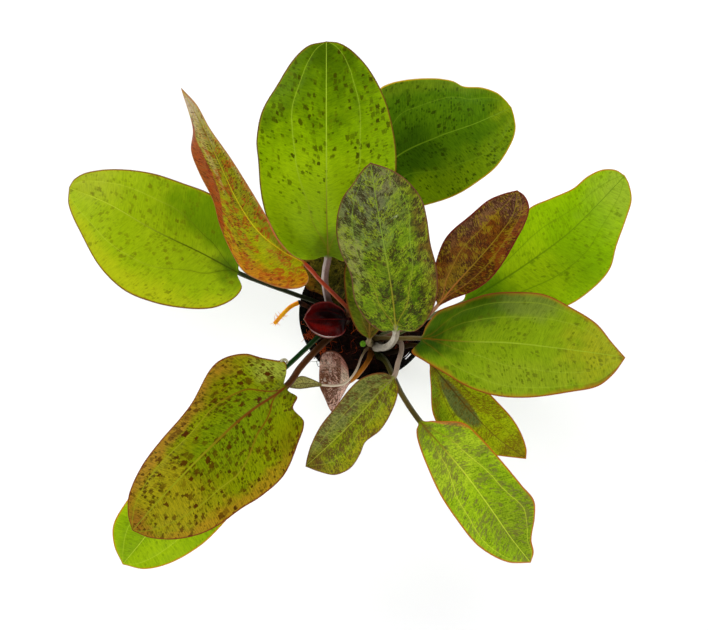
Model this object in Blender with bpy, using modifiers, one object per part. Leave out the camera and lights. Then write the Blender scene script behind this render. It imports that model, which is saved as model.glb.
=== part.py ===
"""A potted ozelot echinodorus: a rosette of spotted leaves in a small round net pot.

The origin is the middle of the pot's underside, +Z is up, and the pot stands on z = 0.
Sizes and places below are in millimetres, and MM turns them into Blender's metres.
Each leaf is one grown piece, a stalk and its blade, lofted along the midrib.
"""
import math
from typing import NamedTuple

import bmesh
import bpy
from mathutils import Vector

MM = 0.001
MERGE_DISTANCE = 0.0001

# Net pot
POT_HEIGHT = 50.0
POT_BASE_RADIUS = 17.5
POT_WALL_TOP_RADIUS = 24.2
POT_RIM_RADIUS = 25.4
POT_RIM_DEPTH = 1.5
POT_WALL = 1.2
POT_FLOOR = 1.5
POT_SIDES = 64
WALL_SLOTS = 16
WALL_SLOT_WIDTH = 3.0
WALL_SLOT_BOTTOM = 10.0
WALL_SLOT_TOP = 46.5
WALL_SLOT_REACH = (16.0, 26.5)
FIRST_SLOT_ANGLE = math.radians(-44.5)
FLOOR_SLOTS = 8
FLOOR_SLOT_WIDTH = 2.6
FLOOR_SLOT_REACH = (9.5, 15.5)

# Growing medium
GAP = 0.3
MEDIUM_TOP = 46.0
MEDIUM_EDGE_DROP = 1.0
MEDIUM_SIDES = 32

# Rootstocks, each a short cone that the leaves grow out of
CROWN_RADIUS = 3.2
CROWN_HEIGHT = 6.2
CROWN_SIDES = 16
LEFT_CROWN = (-8.5, -1.5)
RIGHT_CROWN = (4.25, -11.5)

# Cut stalk and stray root
CUT_STALK_FOOT = (-0.75, -11.5)
CUT_STALK_RADIUS = 1.1
CUT_STALK_LENGTH = 12.0
ROOT_RADIUS = 0.75
ROOT_PATH = (
    (-18.0, 0.5, 47.2), (-21.5, 2.5, 50.4), (-25.2, 4.5, 51.4),
    (-28.7, 2.7, 51.0), (-32.0, -0.5, 49.5), (-34.7, -3.5, 46.5),
)
ROOT_POINTS = 14

# Leaves
BLADE_THICKNESS = 0.6
RIB_TIP_SHARE = 0.25
STALK_RINGS = 6
BLADE_RINGS = 11
RING_POINTS = 12
OUTER_SHARE = 0.58
STALK_END_SHARE = 0.97
FLARE_SHARE = 0.04
CURL_POWER = 1.5


class Leaf(NamedTuple):
    """One leaf: its stalk, its midrib, its two margins in plan and how far they lift.

    The stalk and the rib are (x, y, z) points from the crown to the tip. The left and
    right margins are (x, y) points from the stalk to the tip, and left is the side on
    the left when looking along the rib from above. A lift is the height of the margin
    over the rib at even steps from the base to the tip.
    """

    name: str
    radius: float
    stalk: tuple
    rib: tuple
    left: tuple
    right: tuple
    left_lift: tuple
    right_lift: tuple
    colour: tuple


LEAVES = (
    Leaf(
        "leaf_left", 1.0,
        stalk=((-13.5, 0.7, 49), (-18, 4.2, 58), (-26, 7.2, 68), (-37, 11.2, 78)),
        rib=((-46.5, 15, 84), (-60.5, 22.5, 91), (-77, 30.5, 95), (-93.5, 40, 94), (-109, 46.5, 88)),
        left=((-46.5, 14), (-45.5, 10), (-47, 7), (-51, 4), (-57, 2), (-66, 2), (-77, 4),
              (-88, 8.5), (-97, 17), (-104.5, 30), (-109, 40), (-109, 46.5)),
        right=((-46.5, 16), (-46, 23.5), (-47.5, 32.5), (-51.5, 39), (-56, 43.5), (-66, 47.5),
               (-78.5, 51.5), (-91.5, 53), (-102, 52), (-107, 49.5), (-109, 46.5)),
        left_lift=(0, -1, -2, -2, 0), right_lift=(0, 1, 0, -2, 0),
        colour=(0.30, 0.42, 0.02),
    ),
    Leaf(
        "leaf_folded_orange", 0.9,
        stalk=((-6, 0, 53), (-6.7, 2.2, 66), (-9, 4.7, 77), (-12, 7.7, 85), (-16.5, 12.2, 95)),
        rib=((-22, 18, 106), (-30, 22.5, 112), (-38, 29, 120), (-44.5, 38.5, 129),
             (-50.5, 51.5, 138), (-57, 66, 143), (-63.5, 77.5, 144)),
        left=((-21.5, 17.5), (-20.5, 12), (-23, 9.5), (-29, 9), (-37, 11.5), (-43.5, 15), (-48, 22),
              (-52, 31.5), (-54, 40), (-58.5, 49.5), (-61, 57), (-60, 63.5), (-61, 69), (-63.5, 77.5)),
        right=((-22, 19.2), (-26, 21), (-31, 26.5), (-34.5, 33.5), (-40, 43), (-46.5, 53.5),
               (-53.5, 63.5), (-58, 71.5), (-63.5, 77.5)),
        left_lift=(0, -8, -16, -12, 0), right_lift=(0, 3, 6, 5, 0),
        colour=(0.50, 0.16, 0.02),
    ),
    Leaf(
        "leaf_top", 1.5,
        stalk=((-10.7, 0, 53), (-13, 2.7, 60), (-14.2, 6, 67.5), (-15, 11.7, 80), (-14.5, 16.7, 90)),
        rib=((-13.7, 20.5, 96), (-14, 35.5, 107), (-14, 54.5, 115), (-14, 75.5, 119), (-14, 96.5, 118)),
        left=((-15, 20.5), (-19.5, 19.5), (-26.5, 20.5), (-34.5, 32), (-37.5, 42.5), (-38.5, 55),
              (-39, 62), (-37, 72), (-31.5, 81.5), (-26, 90), (-20.5, 95), (-14, 96.5)),
        right=((-12.5, 20.5), (-7.5, 19), (-1.5, 22.5), (5, 31), (10, 44.5), (11, 55),
               (10, 64.5), (7, 76), (1.5, 86.5), (-4.5, 93), (-9.5, 96), (-14, 96.5)),
        left_lift=(0, -3, -4, -4, 0), right_lift=(0, -3, -4, -4, 0),
        colour=(0.24, 0.40, 0.02),
    ),
    Leaf(
        "leaf_top_right", 1.1,
        stalk=((-5, 2, 48), (-2.7, 9, 60), (0.2, 22.2, 70), (3.2, 34.2, 78)),
        rib=((4, 42, 82), (7, 52, 86), (12.5, 58.5, 89), (27, 65, 93), (40, 69.5, 94), (53.5, 75.5, 92)),
        left=((3, 42.5), (-0.5, 55), (-1, 68), (1.5, 77.5), (5.5, 83), (12.5, 85.5), (24.5, 86.5),
              (32, 85.5), (36, 83.5), (42.5, 83), (48, 81), (51, 78.5), (53.5, 75.5)),
        right=((5, 41.5), (8.5, 39.5), (15, 39), (22, 40), (33, 43.5), (42, 49), (48.5, 54.5),
               (53.5, 62.5), (55, 67.5), (54.5, 72), (53.5, 75.5)),
        left_lift=(0, -2, -3, -4, 0), right_lift=(0, -2, -3, -4, 0),
        colour=(0.08, 0.20, 0.01),
    ),
    Leaf(
        "leaf_centre", 1.5,
        stalk=((5.5, -12.5, 53), (7.2, -12.7, 66), (9.5, -11.2, 80), (11, -8.5, 91)),
        rib=((11, -6, 98), (9.5, 6.5, 112), (7, 20.5, 124), (4, 36, 134), (1.5, 52, 141)),
        left=((9.5, -7), (5, -6), (0, -2), (-4, 5), (-5.5, 14), (-9.5, 23.5), (-10.5, 31.5),
              (-8.5, 40), (-4, 46), (-1, 50), (1.5, 52)),
        right=((12.5, -6.5), (18.5, -6), (23, -1), (25.5, 6.5), (25.5, 15.5), (23, 25),
               (21.5, 34), (19.5, 40.5), (14.5, 46.5), (8.5, 50), (1.5, 52)),
        left_lift=(-2, -6, -9, -8, 0), right_lift=(-2, -4, -8, -8, 0),
        colour=(0.14, 0.20, 0.04),
    ),
    Leaf(
        "leaf_centre_behind", 1.0,
        stalk=((2.2, -11.2, 53), (1.7, -11.5, 62), (1, -10.5, 74)),
        rib=((1.5, -9, 82), (1.5, 1.5, 88), (2, 12.5, 92), (3, 27, 93)),
        left=((0.5, -9), (-3, -6), (-6, 0.5), (-7.5, 7.5), (-7.5, 17.5), (-3.5, 24), (3, 27)),
        right=((2.5, -9), (7.5, -3), (12, 6), (12.5, 15.5), (9.5, 23.5), (3, 27)),
        left_lift=(0, 1, 1, 1, 0), right_lift=(0, 1, 1, 1, 0),
        colour=(0.16, 0.26, 0.03),
    ),
    Leaf(
        "leaf_red_brown", 0.8,
        stalk=((7, -9.2, 53), (11.7, -6.7, 66), (17.5, -4.2, 76), (23.2, -0.5, 84)),
        rib=((26.5, 3, 88), (32.5, 10.5, 95), (40.5, 19.5, 102), (48, 28.5, 107), (53, 36, 108),
             (54.5, 44.5, 106)),
        left=((26, 3.5), (24.5, 9), (25, 16.5), (27.5, 25), (30.5, 29.5), (37, 35), (43.5, 40.5),
              (49, 43), (54.5, 44.5)),
        right=((27.5, 3), (31, 5), (39.5, 8.5), (45, 12.5), (49.5, 18.5), (54, 26.5), (57.5, 33.5),
               (58.5, 38.5), (57, 42.5), (54.5, 44.5)),
        left_lift=(0, 1, 4, 3, 0), right_lift=(0, 2, 4, 3, 0),
        colour=(0.11, 0.03, 0.01),
    ),
    Leaf(
        "leaf_right_back", 1.1,
        stalk=((7.5, -8.2, 48), (13.2, -7, 57), (20.7, -2.7, 64), (28.5, 0.7, 69)),
        rib=((36.5, 4, 73), (50, 12, 80), (62.5, 20.5, 85), (75, 30, 88), (86, 41, 89), (95.5, 51, 87)),
        left=((36, 5), (40, 12.5), (50, 27.5), (60.5, 39), (68, 42.5), (76, 46), (81.5, 50.5),
              (87, 53), (92, 53), (95.5, 51)),
        right=((37, 3.5), (46.5, -0.5), (61.5, -1.5), (76, 3.5), (85.5, 10.5), (90.5, 17),
               (92.5, 25), (96, 35), (98, 42), (97, 48), (95.5, 51)),
        left_lift=(0, -2, -1, 1, 0), right_lift=(0, -3, -4, -2, 0),
        colour=(0.27, 0.46, 0.02),
    ),
    Leaf(
        "leaf_right", 1.0,
        stalk=((4.2, -9.2, 53), (7.2, -9, 66), (10.7, -9.2, 75), (15, -9, 81)),
        rib=((20, -9, 86), (34.5, -10, 92), (52.5, -10.5, 97), (70.5, -12.5, 98), (85.5, -14.5, 96),
             (95, -16, 93)),
        left=((20, -8), (24, -2), (27.5, 1.5), (34.5, 4), (45.5, 7.5), (56.5, 8), (65.5, 7),
              (74.5, 2.5), (84, -3.5), (90, -10.5), (95, -16)),
        right=((19.5, -10), (17, -14), (21, -17), (28.5, -21.5), (38, -27), (48, -30), (60, -30.5),
               (74.5, -28.5), (84.5, -26.5), (90.5, -22), (95, -16)),
        left_lift=(-1, -3, -2, 0, 0), right_lift=(-1, -2, -3, -2, 0),
        colour=(0.20, 0.32, 0.03),
    ),
    Leaf(
        "leaf_lower_right_back", 1.0,
        stalk=((8, -14.5, 48), (12, -14.3, 51.5), (15.6, -12.4, 56), (19.5, -12, 61.5), (22.8, -14.6, 67)),
        rib=((24.5, -18, 70), (31.5, -27, 75), (39, -36, 77), (49, -46, 75), (60.5, -54.5, 70)),
        left=((26, -17.5), (35.5, -20), (43.5, -27), (49, -32.5), (54.5, -38.5), (58, -44),
              (60.5, -50.5), (60.5, -54.5)),
        right=((24, -19), (24.5, -26.5), (25.5, -38), (31.5, -47), (43, -52), (52.5, -53.5),
               (60.5, -54.5)),
        left_lift=(0, 2, 3, 2, 0), right_lift=(0, -2, -3, -1, 0),
        colour=(0.26, 0.35, 0.03),
    ),
    Leaf(
        "leaf_lower_right", 1.2,
        stalk=((5.5, -16, 48), (8, -18.2, 58), (10.5, -23.5, 66), (14, -30.7, 75)),
        rib=((20, -39.5, 83), (27.5, -48, 88), (36.5, -58.5, 90), (46, -71.5, 88), (54, -83, 84),
             (61.5, -92.5, 79)),
        left=((21, -39.5), (27.5, -39.5), (36, -40), (42, -45), (50.5, -54.5), (57.5, -63),
              (62, -68.5), (62.5, -75), (61.5, -83.5), (62.5, -88.5), (61.5, -92.5)),
        right=((19, -39.5), (19, -45.5), (22, -54.5), (27.5, -66.5), (34.5, -77), (40.5, -84.5),
               (46.5, -89), (53, -92), (57.5, -92.5), (61.5, -92.5)),
        left_lift=(0, 2, 2, 1, 0), right_lift=(0, 2, 2, 1, 0),
        colour=(0.26, 0.44, 0.03),
    ),
    Leaf(
        "leaf_lower_centre", 1.1,
        stalk=((9, -11.2, 49), (11, -10.2, 57), (13.5, -11, 65), (13.5, -14.2, 74), (12, -18.5, 83)),
        rib=((10.5, -23, 90), (5.5, -28, 94), (-2.5, -37, 97), (-12, -46.5, 96), (-22, -56, 90)),
        left=((11, -23.5), (12, -28), (10, -35), (5.5, -42.5), (0, -47), (-2, -51.5), (-5.5, -56.5),
              (-11, -59), (-16.5, -58), (-22, -56)),
        right=((9.5, -22), (4.5, -21.5), (-1.5, -23.5), (-5.5, -27), (-11, -34), (-16.5, -41),
               (-20, -48), (-21.5, -53), (-22, -56)),
        left_lift=(0, -3, -6, -4, 0), right_lift=(0, -2, -3, -2, 0),
        colour=(0.20, 0.22, 0.05),
    ),
    Leaf(
        "leaf_withered", 1.0,
        stalk=((2.2, -15.7, 48), (1.2, -18, 54), (-1.5, -21.7, 57)),
        rib=((-5.5, -25.5, 57), (-11.5, -27, 59), (-17.5, -27.5, 56)),
        left=((-6, -26.5), (-9.5, -33), (-12.5, -37.5), (-15.5, -32), (-17.5, -27.5)),
        right=((-6.5, -24.5), (-6.5, -20.5), (-9.5, -15.5), (-13, -14), (-16.5, -15.5),
               (-17.5, -21.5), (-17.5, -27.5)),
        left_lift=(0, -3, -4, -2, 0), right_lift=(0, -3, -4, -2, 0),
        colour=(0.30, 0.16, 0.13),
    ),
    Leaf(
        "leaf_lower_left", 1.45,
        stalk=((-10, -6.2, 48), (-14, -9.5, 60), (-19.5, -14.7, 71), (-24.2, -20, 80)),
        rib=((-29, -26.5, 88), (-44, -37, 96), (-58, -50, 101), (-72.5, -65, 101), (-85, -79, 95)),
        left=((-28.5, -27.5), (-25, -30.5), (-26.5, -34.5), (-22.5, -39.5), (-24.5, -47), (-29.5, -58.5),
              (-37.5, -66), (-45.5, -71), (-53, -76.5), (-60, -80), (-69.5, -82), (-78.5, -81.5),
              (-85, -79)),
        right=((-30, -26), (-29, -21.5), (-29.5, -17.5), (-32.5, -17), (-38, -16), (-44, -14.5),
               (-51.5, -16), (-56.5, -20), (-63, -32), (-67.5, -38), (-74.5, -46), (-81.5, -55.5),
               (-86, -65.5), (-86.5, -73), (-85, -79)),
        left_lift=(0, -2, -3, -3, 0), right_lift=(0, -3, -4, -3, 0),
        colour=(0.20, 0.20, 0.02),
    ),
    Leaf(
        "leaf_lower_left_back", 1.1,
        stalk=((-13, -3, 48), (-17.2, -8, 56), (-25.5, -16, 61), (-36, -25.7, 67)),
        rib=((-47.5, -37, 72), (-58, -49, 76), (-69, -64, 77), (-80.5, -81, 73), (-91.5, -94.5, 67)),
        left=((-46.5, -37.5), (-40.5, -47), (-41, -58.5), (-48.5, -72.5), (-55, -80.5), (-62, -87),
              (-73, -93.5), (-83, -96), (-91.5, -94.5)),
        right=((-48.5, -36), (-60, -38), (-75, -49.5), (-89, -69.5), (-94.5, -79), (-94.5, -87),
               (-91.5, -94.5)),
        left_lift=(0, -2, -2, -1, 0), right_lift=(0, -2, -2, -1, 0),
        colour=(0.27, 0.48, 0.01),
    ),
    Leaf(
        "leaf_narrow_young", 0.5,
        stalk=((0.2, -14, 48), (-1.5, -16.7, 58), (-3.7, -22, 64), (-7.5, -26.2, 65), (-11.7, -27.2, 63)),
        rib=((-16.2, -27, 61), (-20, -26.5, 62), (-24.5, -26.5, 62), (-29, -28, 60)),
        left=((-16.5, -27.5), (-21, -28), (-25, -28.5), (-29, -28)),
        right=((-16.5, -26.5), (-20.5, -24.5), (-24, -23.5), (-26.5, -24.5), (-29, -28)),
        left_lift=(0, 0.5, 0.5, 0.5, 0), right_lift=(0, 0.5, 0.5, 0.5, 0),
        colour=(0.22, 0.30, 0.08),
    ),
    Leaf(
        "leaf_dark_behind", 1.0,
        stalk=((-10.5, 2.5, 47.5),),
        rib=((-11, 4.2, 54.5), (-13.7, 11, 61), (-15.5, 19.7, 65), (-16.2, 29.5, 66)),
        left=((-12, 4.5), (-18, 8), (-22, 9.5), (-25, 15.5), (-23, 24), (-16.2, 29.5)),
        right=((-10, 4.2), (-7, 6.5), (-4, 13.5), (-5.5, 21.5), (-16.2, 29.5)),
        left_lift=(0, 1, 1, 1, 0), right_lift=(0, 1, 1, 1, 0),
        colour=(0.05, 0.05, 0.01),
    ),
    Leaf(
        "leaf_wine_red_young", 0.9,
        stalk=((-8, -2, 53), (-6.5, -2, 58)),
        rib=((-7, -2, 63), (-10, -2, 66.5), (-17, -2, 69), (-23, -2, 74)),
        left=((-7.5, -3.2), (-7.5, -6.5), (-10, -8.5), (-15, -9), (-20, -6.5), (-23, -2)),
        right=((-7.5, -0.8), (-8.2, 1.5), (-10.5, 3.2), (-14, 4.7), (-19.2, 3.7), (-21.7, 1), (-23, -2)),
        left_lift=(0, 4, 5, 4, 0), right_lift=(0, 3, 5, 4, 0),
        colour=(0.06, 0.0, 0.0),
    ),
)


def remove_everything():
    """Empty the scene of the objects that it opened with."""
    for thing in list(bpy.data.objects):
        bpy.data.objects.remove(thing)


def new_collection(name):
    """Add a collection to the scene and return it."""
    collection = bpy.data.collections.new(name)
    bpy.context.scene.collection.children.link(collection)
    return collection


def new_material(name, colour, roughness, metallic=0.0):
    """Return a Principled material of one colour."""
    material = bpy.data.materials.new(name)
    material.use_nodes = True
    shader = material.node_tree.nodes["Principled BSDF"]
    shader.inputs["Base Color"].default_value = (*colour, 1.0)
    shader.inputs["Roughness"].default_value = roughness
    shader.inputs["Metallic"].default_value = metallic
    return material


def add_object(name, data, collection, material=None):
    """Put a mesh or a curve in a collection as an object and return the object."""
    thing = bpy.data.objects.new(name, data)
    collection.objects.link(thing)
    if material is not None:
        data.materials.append(material)
    return thing


def curve_through(points, t):
    """Return the point at t, from 0 to 1 by length, on a smooth curve through the points."""
    vectors = [Vector(point) for point in points]
    steps = [(b - a).length for a, b in zip(vectors, vectors[1:])]
    distance = min(max(t, 0.0), 1.0) * sum(steps)
    index = 0
    while index < len(steps) - 1 and distance > steps[index]:
        distance -= steps[index]
        index += 1
    share = distance / steps[index]
    start, end = vectors[index], vectors[index + 1]
    chord = end - start
    before = (end - vectors[index - 1]) / (steps[index] + steps[index - 1]) if index else chord / steps[index]
    if index + 2 < len(vectors):
        after = (vectors[index + 2] - start) / (steps[index] + steps[index + 1])
    else:
        after = chord / steps[index]
    before *= steps[index]
    after *= steps[index]
    square, cube = share * share, share * share * share
    return (
        start * (2 * cube - 3 * square + 1)
        + before * (cube - 2 * square + share)
        + end * (3 * square - 2 * cube)
        + after * (cube - square)
    )


def value_along(values, t):
    """Return the value at t, from 0 to 1, of evenly spaced values joined smoothly."""
    place = min(max(t, 0.0), 1.0) * (len(values) - 1)
    index = min(int(place), len(values) - 2)
    share = place - index
    blend = share * share * (3 - 2 * share)
    return values[index] * (1 - blend) + values[index + 1] * blend


class LeafForm:
    """The surface of one leaf, worked out from its rib, margins and lifts."""

    def __init__(self, leaf):
        """Join the stalk and the rib in one smooth spine."""
        self.leaf = leaf
        self.spine = leaf.stalk + leaf.rib
        lengths = [(Vector(b) - Vector(a)).length for a, b in zip(self.spine, self.spine[1:])]
        self.blade_start = sum(lengths[:len(leaf.stalk)]) / sum(lengths)

    def spine_point(self, t):
        """Return the point at t on the whole spine, 0 at the crown and 1 at the tip."""
        return curve_through(self.spine, t)

    def rib_point(self, u):
        """Return the point at u on the midrib, 0 at the stalk and 1 at the tip."""
        return self.spine_point(self.blade_start + (1 - self.blade_start) * u)

    def surface_point(self, u, v):
        """Return the blade's point at u along it and v across it, -1 left to 1 right."""
        margin = curve_through(self.leaf.left if v < 0 else self.leaf.right, u)
        lift = value_along(self.leaf.left_lift if v < 0 else self.leaf.right_lift, u)
        rib = self.rib_point(u)
        across = abs(v)
        return Vector((
            rib.x + (margin.x - rib.x) * across,
            rib.y + (margin.y - rib.y) * across,
            rib.z + lift * across ** CURL_POWER,
        ))

    def frame_at(self, t):
        """Return the spine's point at t, its right-hand direction and its upward one."""
        step = 0.01
        ahead = self.spine_point(t + step) - self.spine_point(t - step)
        ahead.normalize()
        heading = self.rib_point(0.3) - self.rib_point(0.0)
        right = Vector((heading.y, -heading.x, 0.0))
        right = (right - ahead * right.dot(ahead)).normalized()
        return self.spine_point(t), right, right.cross(ahead)

    def upward(self, u, v):
        """Return the way out of the blade's top at u and v, the spine's own near the rib."""
        step = 0.02
        rib_up = self.frame_at(self.blade_start + (1 - self.blade_start) * u)[2]
        u = min(max(u, step), 1 - step)
        v = min(max(v, step - 1), 1 - step)
        along = self.surface_point(u + step, v) - self.surface_point(u - step, v)
        across = self.surface_point(u, v + step) - self.surface_point(u, v - step)
        normal = across.cross(along).normalized()
        if normal.z < 0:
            normal.negate()
        share = min(abs(v) / OUTER_SHARE, 1.0)
        return (rib_up * (1 - share) + normal * share).normalized()

    def stalk_ring(self, t):
        """Return a round ring of points about the stalk, starting at its left."""
        centre, right, up = self.frame_at(t)
        ring = []
        for index in range(RING_POINTS):
            angle = math.pi - 2 * math.pi * index / RING_POINTS
            offset = right * math.cos(angle) + up * math.sin(angle)
            ring.append(centre + offset * self.leaf.radius)
        return ring

    def blade_ring(self, u):
        """Return the ring of points round the blade at u, with the rib under its middle."""
        rib_radius = self.leaf.radius * (1 - (1 - RIB_TIP_SHARE) * u)
        half = BLADE_THICKNESS / 2
        rib = self.surface_point(u, 0)
        left = min(0.5, rib_radius / max((self.surface_point(u, -1) - rib).length, rib_radius))
        right = min(0.5, rib_radius / max((self.surface_point(u, 1) - rib).length, rib_radius))
        outer_left = max(OUTER_SHARE, left + 0.2)
        outer_right = max(OUTER_SHARE, right + 0.2)
        sections = (
            (-1.0, 0.0), (-outer_left, half), (-left, half), (0.0, half), (right, half), (outer_right, half),
            (1.0, 0.0), (outer_right, -half), (right, -half - 0.5 * rib_radius),
            (0.0, -half - rib_radius), (-left, -half - 0.5 * rib_radius), (-outer_left, -half),
        )
        return [self.surface_point(u, v) + self.upward(u, v) * height for v, height in sections]

    def rings(self):
        """Return every ring from the crown to just short of the tip."""
        last = self.blade_start * STALK_END_SHARE
        rings = [self.stalk_ring(last * index / (STALK_RINGS - 1)) for index in range(STALK_RINGS)]
        for index in range(BLADE_RINGS):
            u = (1 - math.cos(math.pi * (index + 1) / (BLADE_RINGS + 1))) / 2
            round_share = max(0.0, 1 - u / FLARE_SHARE)
            stalk = self.stalk_ring(self.blade_start + (1 - self.blade_start) * u)
            rings.append([flat.lerp(tube, round_share) for flat, tube in zip(self.blade_ring(u), stalk)])
        return rings


def make_leaf(leaf, collection):
    """Loft one leaf along its spine and close it at the crown and at the tip."""
    form = LeafForm(leaf)
    shape = bmesh.new()
    rings = [[shape.verts.new(point * MM) for point in ring] for ring in form.rings()]
    for near, far in zip(rings, rings[1:]):
        for index in range(RING_POINTS):
            following = (index + 1) % RING_POINTS
            shape.faces.new((near[index], near[following], far[following], far[index]))
    shape.faces.new(rings[0])
    tip = shape.verts.new(form.rib_point(1.0) * MM)
    for index in range(RING_POINTS):
        shape.faces.new((rings[-1][index], rings[-1][(index + 1) % RING_POINTS], tip))
    bmesh.ops.recalc_face_normals(shape, faces=shape.faces)
    mesh = bpy.data.meshes.new(leaf.name)
    shape.to_mesh(mesh)
    shape.free()
    mesh.shade_smooth()
    add_object(leaf.name, mesh, collection, new_material(leaf.name, leaf.colour, 0.35))


def turned(name, profile, sides, collection, material):
    """Turn a profile of (radius, height) points, outside from top to bottom, about Z."""
    mesh = bpy.data.meshes.new(name)
    points = [(radius * MM, 0.0, height * MM) for radius, height in profile]
    mesh.from_pydata(points, [(i, i + 1) for i in range(len(points) - 1)], [])
    thing = add_object(name, mesh, collection, material)
    screw = thing.modifiers.new("turn", "SCREW")
    screw.steps = sides
    screw.render_steps = sides
    screw.use_merge_vertices = True
    screw.merge_threshold = MERGE_DISTANCE
    return thing


def wall_radius(height):
    """Return the pot wall's outer radius at a height."""
    slope = (POT_WALL_TOP_RADIUS - POT_BASE_RADIUS) / (POT_HEIGHT - POT_RIM_DEPTH)
    return POT_BASE_RADIUS + slope * height


def radial_box(shape, angle, reach, width, bottom, top):
    """Add a box that runs outward at an angle to a cutter's shape."""
    box = bmesh.ops.create_cube(shape, size=1.0)["verts"]
    length = (reach[1] - reach[0]) * MM
    bmesh.ops.scale(shape, verts=box, vec=(length, width * MM, (top - bottom) * MM))
    middle = (reach[0] + reach[1]) / 2 * MM
    bmesh.ops.translate(shape, verts=box, vec=(middle, 0.0, (top + bottom) / 2 * MM))
    cosine, sine = math.cos(angle), math.sin(angle)
    for vert in box:
        x, y, z = vert.co
        vert.co = (x * cosine - y * sine, x * sine + y * cosine, z)


def make_slot_cutter(collection):
    """Make the boxes that open the pot's wall and floor."""
    shape = bmesh.new()
    for index in range(WALL_SLOTS):
        angle = FIRST_SLOT_ANGLE + 2 * math.pi * index / WALL_SLOTS
        radial_box(shape, angle, WALL_SLOT_REACH, WALL_SLOT_WIDTH, WALL_SLOT_BOTTOM, WALL_SLOT_TOP)
    for index in range(FLOOR_SLOTS):
        angle = 2 * math.pi * index / FLOOR_SLOTS
        radial_box(shape, angle, FLOOR_SLOT_REACH, FLOOR_SLOT_WIDTH, -POT_FLOOR, 2 * POT_FLOOR)
    mesh = bpy.data.meshes.new("pot_slots")
    shape.to_mesh(mesh)
    shape.free()
    cutter = add_object("pot_slots", mesh, collection)
    cutter.hide_render = True
    cutter.display_type = "WIRE"
    return cutter


def make_pot(collection, cutters):
    """Turn the pot and open its slots."""
    inner_top = wall_radius(POT_HEIGHT) - POT_WALL
    inner_bottom = wall_radius(POT_FLOOR) - POT_WALL
    under_rim = POT_HEIGHT - POT_RIM_DEPTH
    profile = (
        (0.0, POT_FLOOR), (inner_bottom, POT_FLOOR), (inner_top, POT_HEIGHT),
        (POT_RIM_RADIUS, POT_HEIGHT), (POT_RIM_RADIUS, under_rim),
        (POT_WALL_TOP_RADIUS, under_rim), (POT_BASE_RADIUS, 0.0), (0.0, 0.0),
    )
    material = new_material("pot", (0.012, 0.012, 0.013), 0.3)
    pot = turned("pot", profile, POT_SIDES, collection, material)
    cut = pot.modifiers.new("slots", "BOOLEAN")
    cut.operation = "DIFFERENCE"
    cut.solver = "EXACT"
    cut.object = make_slot_cutter(cutters)


def make_medium(collection):
    """Turn the plug of dark fibrous medium that fills the pot."""
    bottom = POT_FLOOR + GAP
    edge = MEDIUM_TOP - MEDIUM_EDGE_DROP
    clearance = POT_WALL + GAP
    profile = (
        (0.0, MEDIUM_TOP), (CROWN_RADIUS + wall_radius(edge) / 2, MEDIUM_TOP),
        (wall_radius(edge) - clearance, edge), (wall_radius(bottom) - clearance, bottom), (0.0, bottom),
    )
    material = new_material("growing_medium", (0.02, 0.012, 0.008), 0.95)
    turned("growing_medium", profile, MEDIUM_SIDES, collection, material)


def make_crown(name, place, collection):
    """Turn one short rootstock and stand it on the medium."""
    profile = (
        (0.0, CROWN_HEIGHT), (0.4 * CROWN_RADIUS, 0.96 * CROWN_HEIGHT),
        (0.65 * CROWN_RADIUS, 0.8 * CROWN_HEIGHT), (0.9 * CROWN_RADIUS, 0.4 * CROWN_HEIGHT),
        (CROWN_RADIUS, 0.05 * CROWN_HEIGHT), (0.96 * CROWN_RADIUS, 0.0), (0.0, 0.0),
    )
    crown = turned(name, profile, CROWN_SIDES, collection, new_material(name, (0.05, 0.03, 0.015), 0.8))
    crown.location = Vector((*place, MEDIUM_TOP + GAP)) * MM


def make_cut_stalk(collection):
    """Make the green stub of a leaf stalk that was cut off."""
    bpy.ops.mesh.primitive_cone_add(
        vertices=12,
        radius1=CUT_STALK_RADIUS * 1.1 * MM,
        radius2=CUT_STALK_RADIUS * 0.9 * MM,
        depth=CUT_STALK_LENGTH * MM,
        location=Vector((*CUT_STALK_FOOT, MEDIUM_TOP + GAP + CUT_STALK_LENGTH / 2)) * MM,
    )
    stalk = bpy.context.object
    stalk.name = "cut_stalk"
    stalk.data.materials.append(new_material("cut_stalk", (0.15, 0.25, 0.03), 0.5))
    for owner in list(stalk.users_collection):
        owner.objects.unlink(stalk)
    collection.objects.link(stalk)


def make_root(collection):
    """Make the orange root that comes over the rim as a round tube."""
    curve = bpy.data.curves.new("root_orange", "CURVE")
    curve.dimensions = "3D"
    curve.bevel_depth = ROOT_RADIUS * MM
    curve.bevel_resolution = 2
    curve.use_fill_caps = True
    spline = curve.splines.new("POLY")
    spline.points.add(ROOT_POINTS - 1)
    for index, point in enumerate(spline.points):
        place = curve_through(ROOT_PATH, index / (ROOT_POINTS - 1))
        point.co = (*(place * MM), 1.0)
    add_object("root_orange", curve, collection, new_material("root_orange", (0.6, 0.25, 0.03), 0.5))


def main():
    """Build the pot, what fills it, the rootstocks and every leaf."""
    remove_everything()
    parts = new_collection("potted_ozelot_echinodorus")
    cutters = new_collection("cutters")
    make_pot(parts, cutters)
    make_medium(parts)
    make_crown("crown_left", LEFT_CROWN, parts)
    make_crown("crown_right", RIGHT_CROWN, parts)
    make_cut_stalk(parts)
    make_root(parts)
    for leaf in LEAVES:
        make_leaf(leaf, parts)


main()
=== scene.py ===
"""The looks of the potted ozelot echinodorus.

Each leaf is one closed mesh, stalk and blade, lofted along its midrib over the
same rib, margins and lifts as the leaf of the CAD model that it stands for. Its
veins, spots and mottles are worked out in millimetres on the leaf itself.
Sizes and places are in millimetres, and MM turns them into Blender's metres.
"""
import logging
import math
from dataclasses import dataclass
from enum import Enum
from typing import Any, Sequence

import bmesh
import bpy
import numpy as np
from mathutils import Matrix, Vector


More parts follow.
